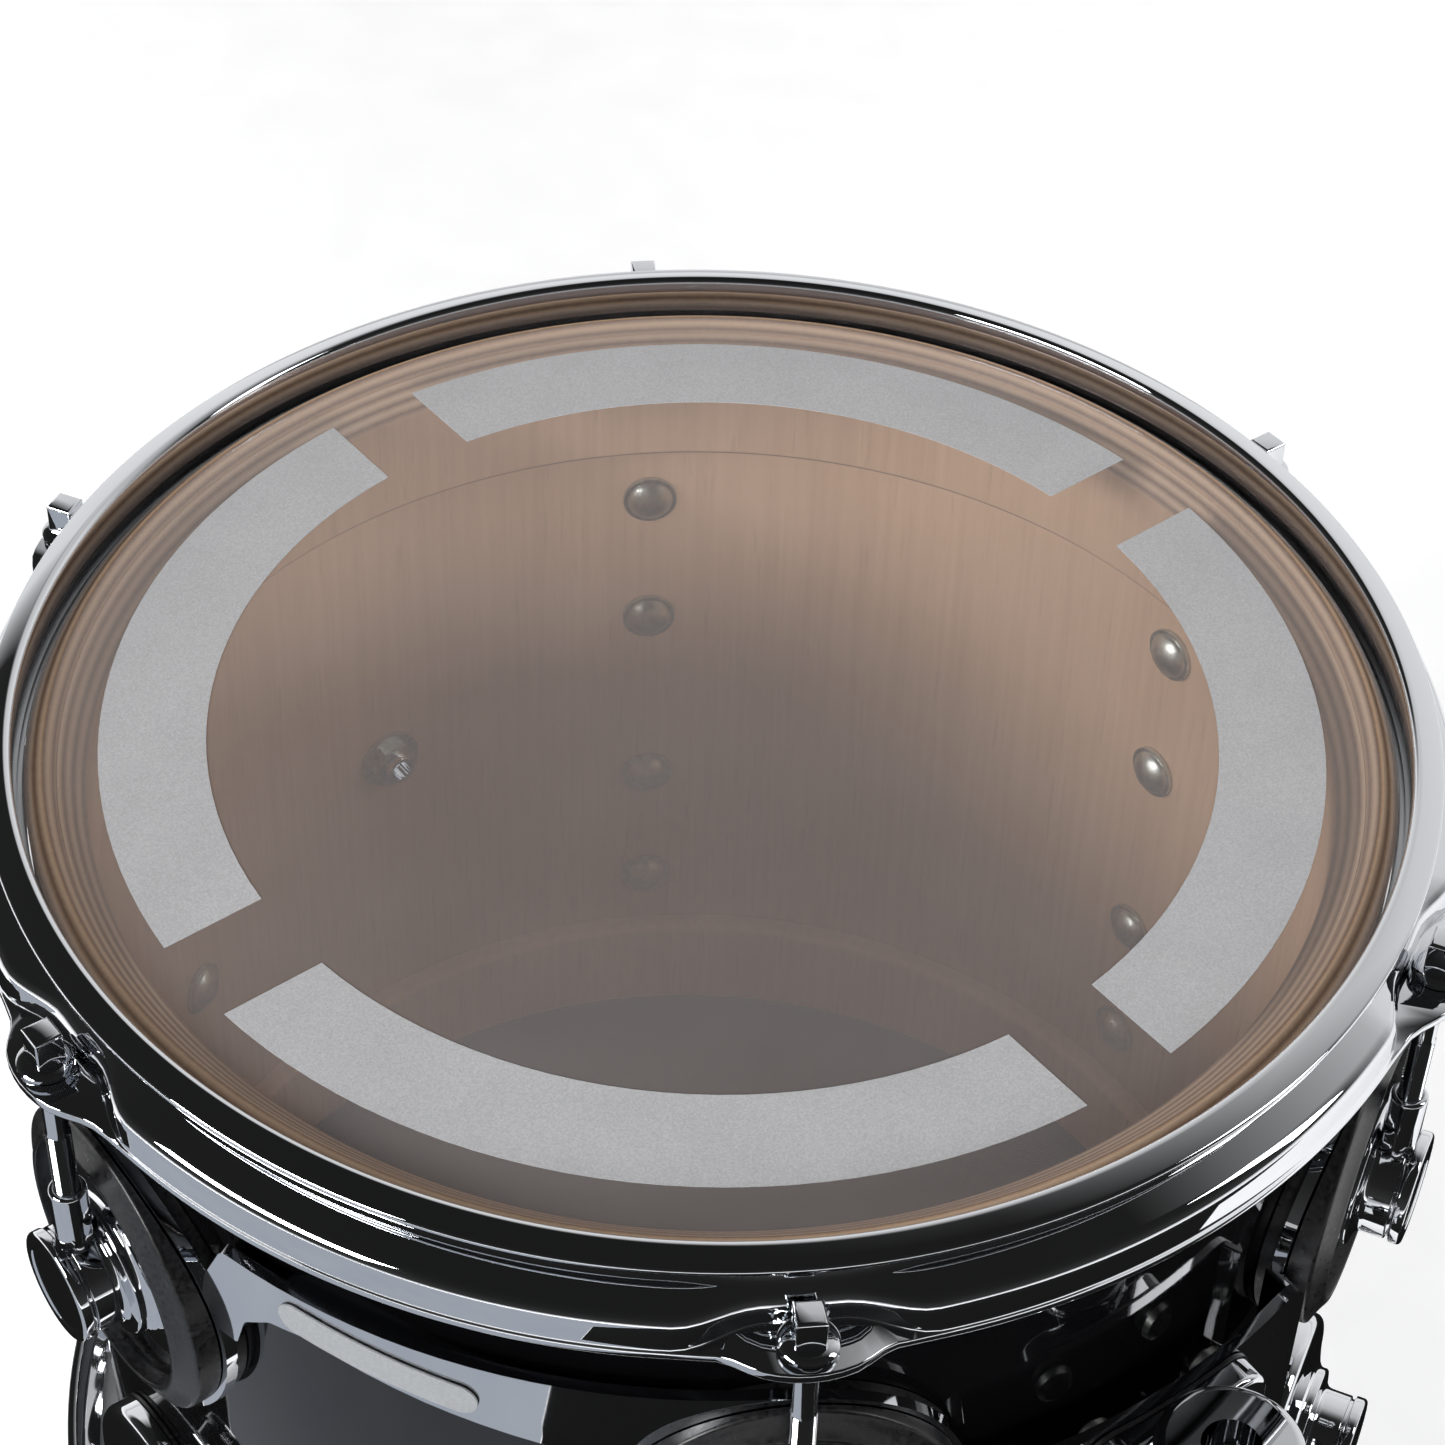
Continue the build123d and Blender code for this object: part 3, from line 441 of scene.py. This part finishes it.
# ---------------------------------------------------------------- badge, vent
# A round enamelled badge with no marking, held by the plated brass eyelet that lets air out of the
# shell. Inside, a flat washer and a thin nut hold the eyelet.
badge_metal, out = new_material("black_enamelled_brass")
where = add(badge_metal, "ShaderNodeTexCoord").outputs["Object"]
centred = add(badge_metal, "ShaderNodeVectorMath", {1: (0.0, 0.0, MIDDLE / 1000)}, {0: where},
              operation="SUBTRACT")
flat = add(badge_metal, "ShaderNodeVectorMath", {1: (1.0, 0.0, 1.0)}, {0: centred.outputs[0]},
           operation="MULTIPLY")
away = add(badge_metal, "ShaderNodeVectorMath", links={0: flat.outputs[0]}, operation="LENGTH")
reach = add(badge_metal, "ShaderNodeMath", {1: 50.0}, {0: away.outputs["Value"]}, operation="MULTIPLY")
rim = ramp_of(badge_metal, reach.outputs[0], [(0.0, 0.0), (0.76, 1.0), (0.79, 0.0)], "CONSTANT")
wear = add(badge_metal, "ShaderNodeTexNoise", {"Scale": 500.0, "Detail": 3.0}, {"Vector": where})
paint = ramp_of(badge_metal, wear.outputs["Fac"], [(0.4, "#08080A"), (0.8, "#17171A")])
tone = add(badge_metal, "ShaderNodeMix", {7: linear("#D9DADB")}, {0: rim.outputs[0], 6: paint.outputs[0]},
           data_type="RGBA")
skin = add(badge_metal, "ShaderNodeBsdfPrincipled", {"Roughness": 0.16},
           {"Base Color": tone.outputs[2], "Metallic": rim.outputs[0]})
badge_metal.node_tree.links.new(skin.outputs[0], out.inputs["Surface"])
dress("badge", badge_metal)
EYELET_BORE = 3.0
EYELET_TUBE = 4.2
eyelet_outline = [
    (138.6, EYELET_BORE), (138.6, EYELET_TUBE), (153.8, EYELET_TUBE), (153.8, 7.5), (155.2, 5.4),
    (155.2, EYELET_BORE),
]
eyelet = turned(eyelet_outline, [0, 0.3, 0, 0.4, 0.9, 0.6], steps=64, about="X")
bmesh.ops.transform(eyelet, matrix=place(90, MIDDLE), verts=eyelet.verts[:])
piece("vent_tube", eyelet, [chrome], "drum", ["vent_eyelet"])
dress("vent_nut", zinc)
dress("vent_washer", zinc)

# ---------------------------------------------------------------- heads
# The batter head and the resonant head: clear polyester film, folded down over the bearing edge
# and crimped into an aluminium flesh hoop. The film mirrors more the flatter it is looked along.
FILM_TINT = "#E6DDDB"
clear_film, out = new_material("clear_polyester_film")
where = add(clear_film, "ShaderNodeTexCoord").outputs["Object"]
haze = add(clear_film, "ShaderNodeTexNoise", {"Scale": 14.0, "Detail": 4.0}, {"Vector": where})
slant = add(clear_film, "ShaderNodeLayerWeight", {"Blend": 0.5})
steep = add(clear_film, "ShaderNodeMath", {1: 4.0}, {0: slant.outputs["Facing"]}, operation="POWER")
cover = add(clear_film, "ShaderNodeMapRange",
            {"From Min": 0.3, "From Max": 0.7, "To Min": 0.08, "To Max": 0.1}, {"Value": haze.outputs["Fac"]})
cover = add(clear_film, "ShaderNodeMath", {1: 0.8}, {0: steep.outputs[0], 2: cover.outputs[0]},
            operation="MULTIPLY_ADD", use_clamp=True)
skin = add(clear_film, "ShaderNodeBsdfPrincipled",
           {"Base Color": linear(FILM_TINT), "Roughness": 0.06, "IOR": 1.64}, {"Alpha": cover.outputs[0]})
clear_film.node_tree.links.new(skin.outputs[0], out.inputs["Surface"])

FOLD_RADIUS = 147.6              # where the flat film begins to fold down
COLLAR_RADIUS = 152.9            # of the folded collar's inner face
FILM_TOP = UPPER_EDGE + 0.3
FILM_BACK = UPPER_EDGE + 0.2
FILM_SHEET = 0.1
FLESH_TOP = UPPER_EDGE - 6.2      # top of the flesh hoop
film_outline = [
    (0, FILM_TOP), (FOLD_RADIUS, FILM_TOP), (COLLAR_RADIUS + FILM_SHEET, UPPER_EDGE - 3.4),
    (COLLAR_RADIUS + FILM_SHEET, FLESH_TOP), (COLLAR_RADIUS, FLESH_TOP),
    (COLLAR_RADIUS, UPPER_EDGE - 3.45), (FOLD_RADIUS, FILM_BACK), (0, FILM_BACK),
]
film_shape = turned(film_outline, [0, 1.2, 1.0, 0, 0, 1.0, 1.2, 0], steps=256)
lower_film_shape = copied(film_shape, place(flip=True))
piece("film_upper", film_shape, [clear_film], "drum", ["batter_film"])
piece("film_lower", lower_film_shape, [clear_film], "drum", ["resonant_film"])

# Sprayed coating: fine grey-white sand in a clear binder, dense enough to hide most of what is
# under it.
sand, out = new_material("sprayed_coating")
where = add(sand, "ShaderNodeTexCoord").outputs["Object"]
grit = add(sand, "ShaderNodeTexNoise", {"Scale": 2200.0, "Detail": 2.0, "Roughness": 0.7}, {"Vector": where})
blotch = add(sand, "ShaderNodeTexNoise", {"Scale": 60.0, "Detail": 3.0}, {"Vector": where})
tone = ramp_of(sand, grit.outputs["Fac"], [(0.36, "#AEAEB0"), (0.5, "#B8B8BA"), (0.66, "#C2C2C4")])
pale = ramp_of(sand, blotch.outputs["Fac"], [(0.3, 0.94), (0.7, 1.0)])
mixed = add(sand, "ShaderNodeMix", {0: 1.0}, {6: tone.outputs[0], 7: pale.outputs[0]}, data_type="RGBA",
            blend_type="MULTIPLY")
bump = add(sand, "ShaderNodeBump", {"Strength": 0.35, "Distance": 0.0002}, {"Height": grit.outputs["Fac"]})
skin = add(sand, "ShaderNodeBsdfPrincipled", {"Roughness": 0.62, "Alpha": 0.93},
           {"Base Color": mixed.outputs[2], "Normal": bump.outputs[0]})
sand.node_tree.links.new(skin.outputs[0], out.inputs["Surface"])
dress("batter_coating", sand)

# Flesh hoops: rolled aluminium channel with a satin skin.
rolled, out = new_material("rolled_aluminium")
where = add(rolled, "ShaderNodeTexCoord").outputs["Object"]
draw_map = add(rolled, "ShaderNodeMapping", {"Scale": (20.0, 20.0, 1800.0)}, {"Vector": where})
draw = add(rolled, "ShaderNodeTexNoise", {"Scale": 1.0, "Detail": 3.0}, {"Vector": draw_map.outputs[0]})
rough = add(rolled, "ShaderNodeMapRange", {"To Min": 0.28, "To Max": 0.5}, {"Value": draw.outputs["Fac"]})
skin = add(rolled, "ShaderNodeBsdfPrincipled", {"Base Color": linear("#C8CACC"), "Metallic": 1.0},
           {"Roughness": rough.outputs[0]})
rolled.node_tree.links.new(skin.outputs[0], out.inputs["Surface"])
FLESH_INSIDE = 152.75
FLESH_OUTSIDE = 158.75
FLESH_FOOT = UPPER_EDGE - 12.4
flesh_outline = [
    (FLESH_INSIDE, FLESH_TOP), (FLESH_OUTSIDE, FLESH_TOP), (FLESH_OUTSIDE, FLESH_FOOT),
    (FLESH_INSIDE, FLESH_FOOT),
]
flesh_shape = turned(flesh_outline, [0.3, 1.4, 1.4, 1.2], steps=240)
lower_flesh_shape = copied(flesh_shape, place(flip=True))
piece("flesh_hoop_upper", flesh_shape, [rolled], "drum", ["batter_flesh_hoop"])
piece("flesh_hoop_lower", lower_flesh_shape, [rolled], "drum",
      ["resonant_flesh_hoop"])

# ---------------------------------------------------------------- hoops
# Triple-flanged hoops: steel strip of 2.4 mm rolled into a ring with a lip on top that leans out, a
# step over the flesh hoop and a flange below. The flange lies flat at each rod's ear and is turned
# down into a skirt between the ears. Polished and chromed all over.
SHEET = 2.4
WALL_INSIDE = 154.2              # radius inside the upright wall under the lip
LIP_TOP = UPPER_EDGE + 8.0
LIP_RADIUS = 161.3
LIP_DROP = 2.4                   # the lip leans outward by this much
STEP_TOP = UPPER_EDGE - 3.6      # of the step that presses on the flesh hoop
DROP_OUTSIDE = 161.6             # radius outside the wall below the step
FLANGE_TOP = UPPER_EDGE - 9.5
FLANGE_RADIUS = 169.3
EAR_RADIUS = 26.0
EAR_REACH = 6.5                  # of an ear's tip beyond the rod's axis
EAR_MIDDLE = ROD_CIRCLE + EAR_REACH - EAR_RADIUS
WALL_OUTSIDE = WALL_INSIDE + SHEET
DROP_INSIDE = DROP_OUTSIDE - SHEET
hoop_at_ear = [
    (WALL_INSIDE, LIP_TOP), (LIP_RADIUS, LIP_TOP - LIP_DROP), (LIP_RADIUS - 0.5, LIP_TOP - LIP_DROP - 2.0),
    (WALL_OUTSIDE, LIP_TOP - SHEET), (WALL_OUTSIDE, STEP_TOP + 3.0), (DROP_OUTSIDE, STEP_TOP - 0.6),
    (DROP_OUTSIDE, FLANGE_TOP), (FLANGE_RADIUS, FLANGE_TOP), (FLANGE_RADIUS, FLANGE_TOP - SHEET),
    (DROP_INSIDE, FLANGE_TOP - SHEET), (DROP_INSIDE, STEP_TOP - SHEET), (WALL_INSIDE, STEP_TOP - SHEET),
]
SKIRT_RADIUS = 166.4             # of the turned-down flange between the ears
SKIRT_LOW = UPPER_EDGE - 13.4
EAR_SPAN = 2.6                   # degrees from a rod within which the flange stays flat
EAR_FADE = 6.4                   # degrees over which it turns down after that
hoop_between = hoop_at_ear[:4] + [
    (WALL_OUTSIDE, STEP_TOP + 3.4), (SKIRT_RADIUS, STEP_TOP - 0.2), (SKIRT_RADIUS + 0.4, SKIRT_LOW + 2.4),
    (SKIRT_RADIUS + 1.1, SKIRT_LOW + 1.2), (SKIRT_RADIUS + 1.1, SKIRT_LOW), (SKIRT_RADIUS - 1.6, SKIRT_LOW),
    (SKIRT_RADIUS - SHEET, STEP_TOP - SHEET - 0.6), (WALL_INSIDE, STEP_TOP - SHEET),
]
hoop_rounding = [2.2, 0.9, 0.9, 1.4, 2.4, 2.4, 0.5, 0.55, 0.55, 0.6, 0.5, 1.2]


def section_points(outline):
    """The corners of a hoop's section after rounding, always in the same order."""
    section = bmesh.new()
    profile_edges(section, outline, hoop_rounding)
    points = [(v.co.x, v.co.z) for v in section.verts]
    section.free()
    return points


ear_points = section_points(hoop_at_ear)
between_points = section_points(hoop_between)
hoop_shape = turned(hoop_at_ear, hoop_rounding, steps=360)
for vertex in hoop_shape.verts:
    reach = math.hypot(vertex.co.x, vertex.co.y)
    turn = math.degrees(math.atan2(vertex.co.y, vertex.co.x))
    off_ear = min(abs((turn - other + 180) % 360 - 180) for other in LUG_TURNS)
    aside = math.radians(off_ear)
    nearest = min(range(len(ear_points)),
                  key=lambda k: abs(ear_points[k][0] - reach) + abs(ear_points[k][1] - vertex.co.z))
    there = reach
    if reach > FLANGE_RADIUS - 2.0:
        room = EAR_RADIUS ** 2 - (EAR_MIDDLE * math.sin(aside)) ** 2
        ear = EAR_MIDDLE * math.cos(aside) + math.sqrt(room) if room > 0 else 0
        there += max(0.0, ear - FLANGE_RADIUS)
    share = min(1.0, max(0.0, (off_ear - EAR_SPAN) / EAR_FADE))
    share = share * share * (3 - 2 * share)
    goal = between_points[nearest]
    there += (goal[0] - there) * share
    vertex.co.z += (goal[1] - vertex.co.z) * share
    vertex.co.x *= there / reach
    vertex.co.y *= there / reach
lower_hoop_shape = copied(hoop_shape, place(flip=True))
upper_hoop = piece("hoop_upper", hoop_shape, [chrome], "drum", ["batter_hoop"])
lower_hoop = piece("hoop_lower", lower_hoop_shape, [chrome], "drum", ["resonant_hoop"])
ROD_HOLE = 3.5
for hoop, height in ((upper_hoop, FLANGE_TOP), (lower_hoop, 2 * MIDDLE - FLANGE_TOP)):
    drills = []
    for turn in LUG_TURNS:
        drill = round_bar(ROD_HOLE, height - 6, height + 6, "Z", 40)
        bmesh.ops.translate(drill, vec=(ROD_CIRCLE, 0, 0), verts=drill.verts[:])
        bmesh.ops.transform(drill, matrix=place(turn), verts=drill.verts[:])
        drills.append(drill)
    carve(hoop, gather(drills))
dress("rod_washers_upper", chrome)
dress("rod_washers_lower", chrome)

# ---------------------------------------------------------------- tension rods
# Steel rods with a square head for a drum key and a round flange below it, forged in one piece, with
# a rolled thread at the other end. Nickel and chrome plated.
HEAD_SIDE = 6.35
HEAD_HEIGHT = 8.4
HEAD_TOP = 10.0                  # of the square head above the rod's seat
ROD_SEAT = FLANGE_TOP + 1.3      # on the washer
ROD_LOW = UPPER_EDGE - LUG_HEIGHT
THREAD_TOP = ROD_SEAT - 20
THREAD_PITCH = 0.9
THREAD_ROOT = 2.3
THREAD_CREST = 2.75
rod_outline = [(0, ROD_LOW), (2.2, ROD_LOW)]
rounds = int((THREAD_TOP - ROD_LOW - 1.0) / THREAD_PITCH)
for k in range(rounds):
    base = ROD_LOW + 0.6 + THREAD_PITCH * k
    rod_outline += [(THREAD_ROOT, base), (THREAD_CREST, base + THREAD_PITCH / 2)]
rod_outline += [
    (2.5, THREAD_TOP), (2.6, ROD_SEAT - 1.5), (2.75, ROD_SEAT), (5.7, ROD_SEAT), (6.15, ROD_SEAT + 0.5),
    (6.15, ROD_SEAT + 1.3), (5.6, ROD_SEAT + 1.9), (4.4, ROD_SEAT + 2.2), (0, ROD_SEAT + 2.2),
]
for end in ("upper", "lower"):
    for number, turn in enumerate(LUG_TURNS, start=1):
        rod_shape = turned(rod_outline, steps=40)
        head = bmesh.new()
        bmesh.ops.create_cube(head, size=1.0)
        bmesh.ops.scale(head, vec=(HEAD_SIDE, HEAD_SIDE, HEAD_HEIGHT), verts=head.verts[:])
        top_edges = [e for e in head.edges if all(v.co.z > 0 for v in e.verts)]
        bmesh.ops.bevel(head, geom=top_edges, offset=0.9, offset_type="OFFSET", affect="EDGES", segments=4,
                        profile=0.5, material=-1)
        side_edges = [e for e in head.edges if abs(e.verts[0].co.z - e.verts[1].co.z) > 4]
        bmesh.ops.bevel(head, geom=side_edges, offset=0.5, offset_type="OFFSET", affect="EDGES", segments=3,
                        profile=0.5, material=-1)
        bmesh.ops.translate(head, vec=(0, 0, ROD_SEAT + HEAD_TOP - HEAD_HEIGHT / 2), verts=head.verts[:])
        rod = gather([rod_shape, head])
        bmesh.ops.translate(rod, vec=(ROD_CIRCLE, 0, 0), verts=rod.verts[:])
        moved = copied(rod, place(turn, 0, end == "lower"))
        rod.free()
        name = f"tension_rod_{end}_{number}"
        piece(f"rod_{end}_{number}", moved, [chrome], name, [name], sharp=40)

# ---------------------------------------------------------------- studio
# A pale floor that runs out of sight, a white tent over both, and a dark brown disc under the drum: painted
# shade that darkens the drum's inside, seen through the films.
# Mirrors see something else: a dark room in front and high on the left, a bright wall behind, a
# long soft box and cards on the floor.
CAMERA_TURN = -37.38             # the camera stands this much round from the clamp's side, in degrees
AWAY = (0.607, 0.795, 0.0)       # the level direction from the camera towards the drum
LEFT_AND_UP = (-0.5565, 0.425, 0.714)
TENT = [(0.0, 1.0), (0.2, 0.95), (0.4, 0.5), (0.6, 0.15), (0.95, 0.05)]
BRIGHT_WALL = [(0.0, 0.97), (0.3, 0.9), (0.6, 0.8), (0.8, 0.6), (0.95, 0.05)]
DARK_ROOM = [(0.0, 0.05), (0.15, 0.04), (0.22, 0.035), (0.5, 0.02), (0.95, 0.015)]
FLOOR_LEVEL = -0.0004            # in metres, just under the lip that the drum stands on
# Painted shade: the dark disc under the drum lies just above the floor.
SHADE_DISC_LEVEL = -0.0002
SHADE_DISC_RADIUS = 0.156
CARD_HEIGHT = -0.2615            # just above the floor, measured from the upper film
world = bpy.data.worlds.new("studio")
world.use_nodes = True
world.node_tree.nodes.clear()
bpy.context.scene.world = world
ends = add(world, "ShaderNodeOutputWorld")
look = add(world, "ShaderNodeTexCoord").outputs["Generated"]
height = add(world, "ShaderNodeSeparateXYZ", links={0: look}).outputs["Z"]
tent = ramp_of(world, height, TENT)
bright_wall = ramp_of(world, height, BRIGHT_WALL)
dark_room = ramp_of(world, height, DARK_ROOM)
behind = add(world, "ShaderNodeVectorMath", {1: AWAY}, {0: look}, operation="DOT_PRODUCT")
behind = add(world, "ShaderNodeMapRange", {"From Min": 0.0, "From Max": 0.45},
             {"Value": behind.outputs["Value"]})
high_left = add(world, "ShaderNodeVectorMath", {1: LEFT_AND_UP}, {0: look}, operation="DOT_PRODUCT")
elsewhere = add(world, "ShaderNodeMapRange",
                {"From Min": 0.56, "From Max": 0.68, "To Min": 1.0, "To Max": 0.0},
                {"Value": high_left.outputs["Value"]})
lit = add(world, "ShaderNodeMath", operation="MULTIPLY",
          links={0: behind.outputs[0], 1: elsewhere.outputs[0]})
mirrored = add(world, "ShaderNodeMix", data_type="RGBA",
               links={0: lit.outputs[0], 6: dark_room.outputs[0], 7: bright_wall.outputs[0]})
ray = add(world, "ShaderNodeLightPath")
shown = add(world, "ShaderNodeMix", data_type="RGBA",
            links={0: ray.outputs["Is Glossy Ray"], 6: tent.outputs[0], 7: mirrored.outputs[2]})
glow = add(world, "ShaderNodeBackground", {"Strength": 1.0}, {"Color": shown.outputs[2]})
world.node_tree.links.new(glow.outputs[0], ends.inputs["Surface"])

paper, out = new_material("white_paper")
where = add(paper, "ShaderNodeTexCoord").outputs["Object"]
fibre = add(paper, "ShaderNodeTexNoise", {"Scale": 40.0, "Detail": 5.0}, {"Vector": where})
tone = ramp_of(paper, fibre.outputs["Fac"], [(0.3, "#F4F4F5"), (0.7, "#FBFBFC")])
skin = add(paper, "ShaderNodeBsdfPrincipled", {"Roughness": 0.9, "Emission Color": linear("#FFFFFF"),
           "Emission Strength": 0.35}, {"Base Color": tone.outputs[0]})
paper.node_tree.links.new(skin.outputs[0], out.inputs["Surface"])
floor_shape = bmesh.new()
bmesh.ops.create_grid(floor_shape, x_segments=8, y_segments=8, size=12.0)
floor_mesh = bpy.data.meshes.new("floor")
floor_shape.to_mesh(floor_mesh)
floor_shape.free()
floor_mesh.materials.append(paper)
floor = bpy.data.objects.new("floor", floor_mesh)
floor.location.z = FLOOR_LEVEL
bpy.context.scene.collection.objects.link(floor)


def studio(x, y, z):
    """A place given with the camera on -Y and the upper film's centre as the origin, in the row frame."""
    turn_round = Matrix.Rotation(math.radians(CAMERA_TURN), 3, "Z")
    return turn_round @ Vector((x, y, z)) + Vector((0, 0, UPPER_EDGE / 1000))


def panel(name, at, towards, wide, tall, power, in_mirrors=True):
    """A soft box of a given size, in metres and watts, that faces a point."""
    lamp = bpy.data.lights.new(name, "AREA")
    lamp.shape = "RECTANGLE"
    lamp.size = wide
    lamp.size_y = tall
    lamp.energy = power
    holder = bpy.data.objects.new(name, lamp)
    holder.location = studio(*at)
    holder.rotation_mode = "QUATERNION"
    holder.rotation_quaternion = (studio(*towards) - holder.location).to_track_quat("-Z", "Y")
    holder.visible_glossy = in_mirrors
    bpy.context.scene.collection.objects.link(holder)


panel("box_left", (-1.7, -1.1, 1.0), (0.05, 0.05, -0.1), 1.2, 0.6, 40)
panel("box_right", (1.8, -0.2, 1.0), (0, 0, -0.05), 0.35, 1.3, 8)
panel("fill_front", (0.5, -2.4, 0.8), (0, 0.15, -0.05), 1.4, 0.5, 38, in_mirrors=False)
panel("box_above", (0.0, 0.3, 3.0), (0, 0.1, -0.3), 1.8, 1.8, 14, in_mirrors=False)


def flag(name, corners, cover):
    """A card lying flat, seen only in mirrors."""
    card = bmesh.new()
    card.faces.new([card.verts.new(studio(x, y, CARD_HEIGHT)) for x, y in corners])
    mesh = bpy.data.meshes.new(name)
    card.to_mesh(mesh)
    card.free()
    mesh.materials.append(cover)
    thing = bpy.data.objects.new(name, mesh)
    bpy.context.scene.collection.objects.link(thing)
    thing.visible_camera = False
    thing.visible_diffuse = False
    thing.visible_shadow = False
    thing.visible_transmission = False


flag_black, out = new_material("black_velvet")
where = add(flag_black, "ShaderNodeTexCoord").outputs["Object"]
nap = add(flag_black, "ShaderNodeTexNoise", {"Scale": 300.0}, {"Vector": where})
tone = ramp_of(flag_black, nap.outputs["Fac"], [(0.3, "#020202"), (0.7, "#060606")])
skin = add(flag_black, "ShaderNodeBsdfPrincipled", {"Roughness": 1.0}, {"Base Color": tone.outputs[0]})
flag_black.node_tree.links.new(skin.outputs[0], out.inputs["Surface"])
# Painted shade: a dark brown disc on the floor under the drum. Seen through both films, it darkens the drum's
# inside where light does not reach.
shade_disc_material, out = new_material("painted_shade_brown")
where = add(shade_disc_material, "ShaderNodeTexCoord").outputs["Object"]
nap = add(shade_disc_material, "ShaderNodeTexNoise", {"Scale": 90.0}, {"Vector": where})
tone = ramp_of(shade_disc_material, nap.outputs["Fac"], [(0.3, "#3A302B"), (0.7, "#40362F")])
skin = add(shade_disc_material, "ShaderNodeBsdfPrincipled", {"Roughness": 1.0}, {"Base Color": tone.outputs[0]})
shade_disc_material.node_tree.links.new(skin.outputs[0], out.inputs["Surface"])
under = bmesh.new()
bmesh.ops.create_circle(under, cap_ends=True, segments=96, radius=SHADE_DISC_RADIUS)
under_mesh = bpy.data.meshes.new("painted_shade_disc")
under.to_mesh(under_mesh)
under.free()
under_mesh.materials.append(shade_disc_material)
painted_shade_disc = bpy.data.objects.new("painted_shade_disc", under_mesh)
painted_shade_disc.location.z = SHADE_DISC_LEVEL
bpy.context.scene.collection.objects.link(painted_shade_disc)
card_grey, out = new_material("grey_card")
where = add(card_grey, "ShaderNodeTexCoord").outputs["Object"]
tooth = add(card_grey, "ShaderNodeTexNoise", {"Scale": 20.0}, {"Vector": where})
tone = ramp_of(card_grey, tooth.outputs["Fac"], [(0.3, "#AEB5C0"), (0.7, "#B7BCC4")])
skin = add(card_grey, "ShaderNodeEmission", links={"Color": tone.outputs[0]})
card_grey.node_tree.links.new(skin.outputs[0], out.inputs["Surface"])
flag("flag_front", [(-0.096, -0.19), (0.9, -0.19), (0.9, -1.3), (-0.096, -1.3)], flag_black)
flag("flag_side", [(0.18, 0.2), (0.18, -0.189), (0.34, -0.189), (0.34, 0.2)], flag_black)
flag("flag_left", [(-0.6, -0.0995), (-0.17, -0.0995), (-0.17, 0.3), (-0.6, 0.3)], flag_black)
flag("card_left", [(-1.2, -0.1), (-0.0965, -0.1), (-0.0965, -1.3), (-1.2, -1.3)], card_grey)

# ---------------------------------------------------------------- camera
# A long lens, most of a metre away, that looks down at the upper head from forty-three degrees.
lens = bpy.data.cameras.new("camera")
lens.sensor_fit = "HORIZONTAL"
lens.sensor_width = 36.0
lens.lens = 86.7254
lens.clip_start = 0.05
lens.clip_end = 60.0
camera = bpy.data.objects.new("camera", lens)
right = Vector((0.99954, 0.01872, 0.02384))
up = Vector((-0.03020, 0.68174, 0.73097))
back = Vector((-0.00257, -0.73135, 0.68200))
aim = Matrix((right, up, back)).transposed()
film_seen_from_lens = Vector((-0.001935, 0.00208125, -0.777555))
stand = -(aim @ film_seen_from_lens)
turned_aim = Matrix.Rotation(math.radians(CAMERA_TURN), 3, "Z") @ aim
camera.matrix_world = Matrix.Translation(studio(*stand)) @ turned_aim.to_4x4()
bpy.context.scene.collection.objects.link(camera)
bpy.context.scene.camera = camera
bpy.context.scene.view_settings.view_transform = "Standard"
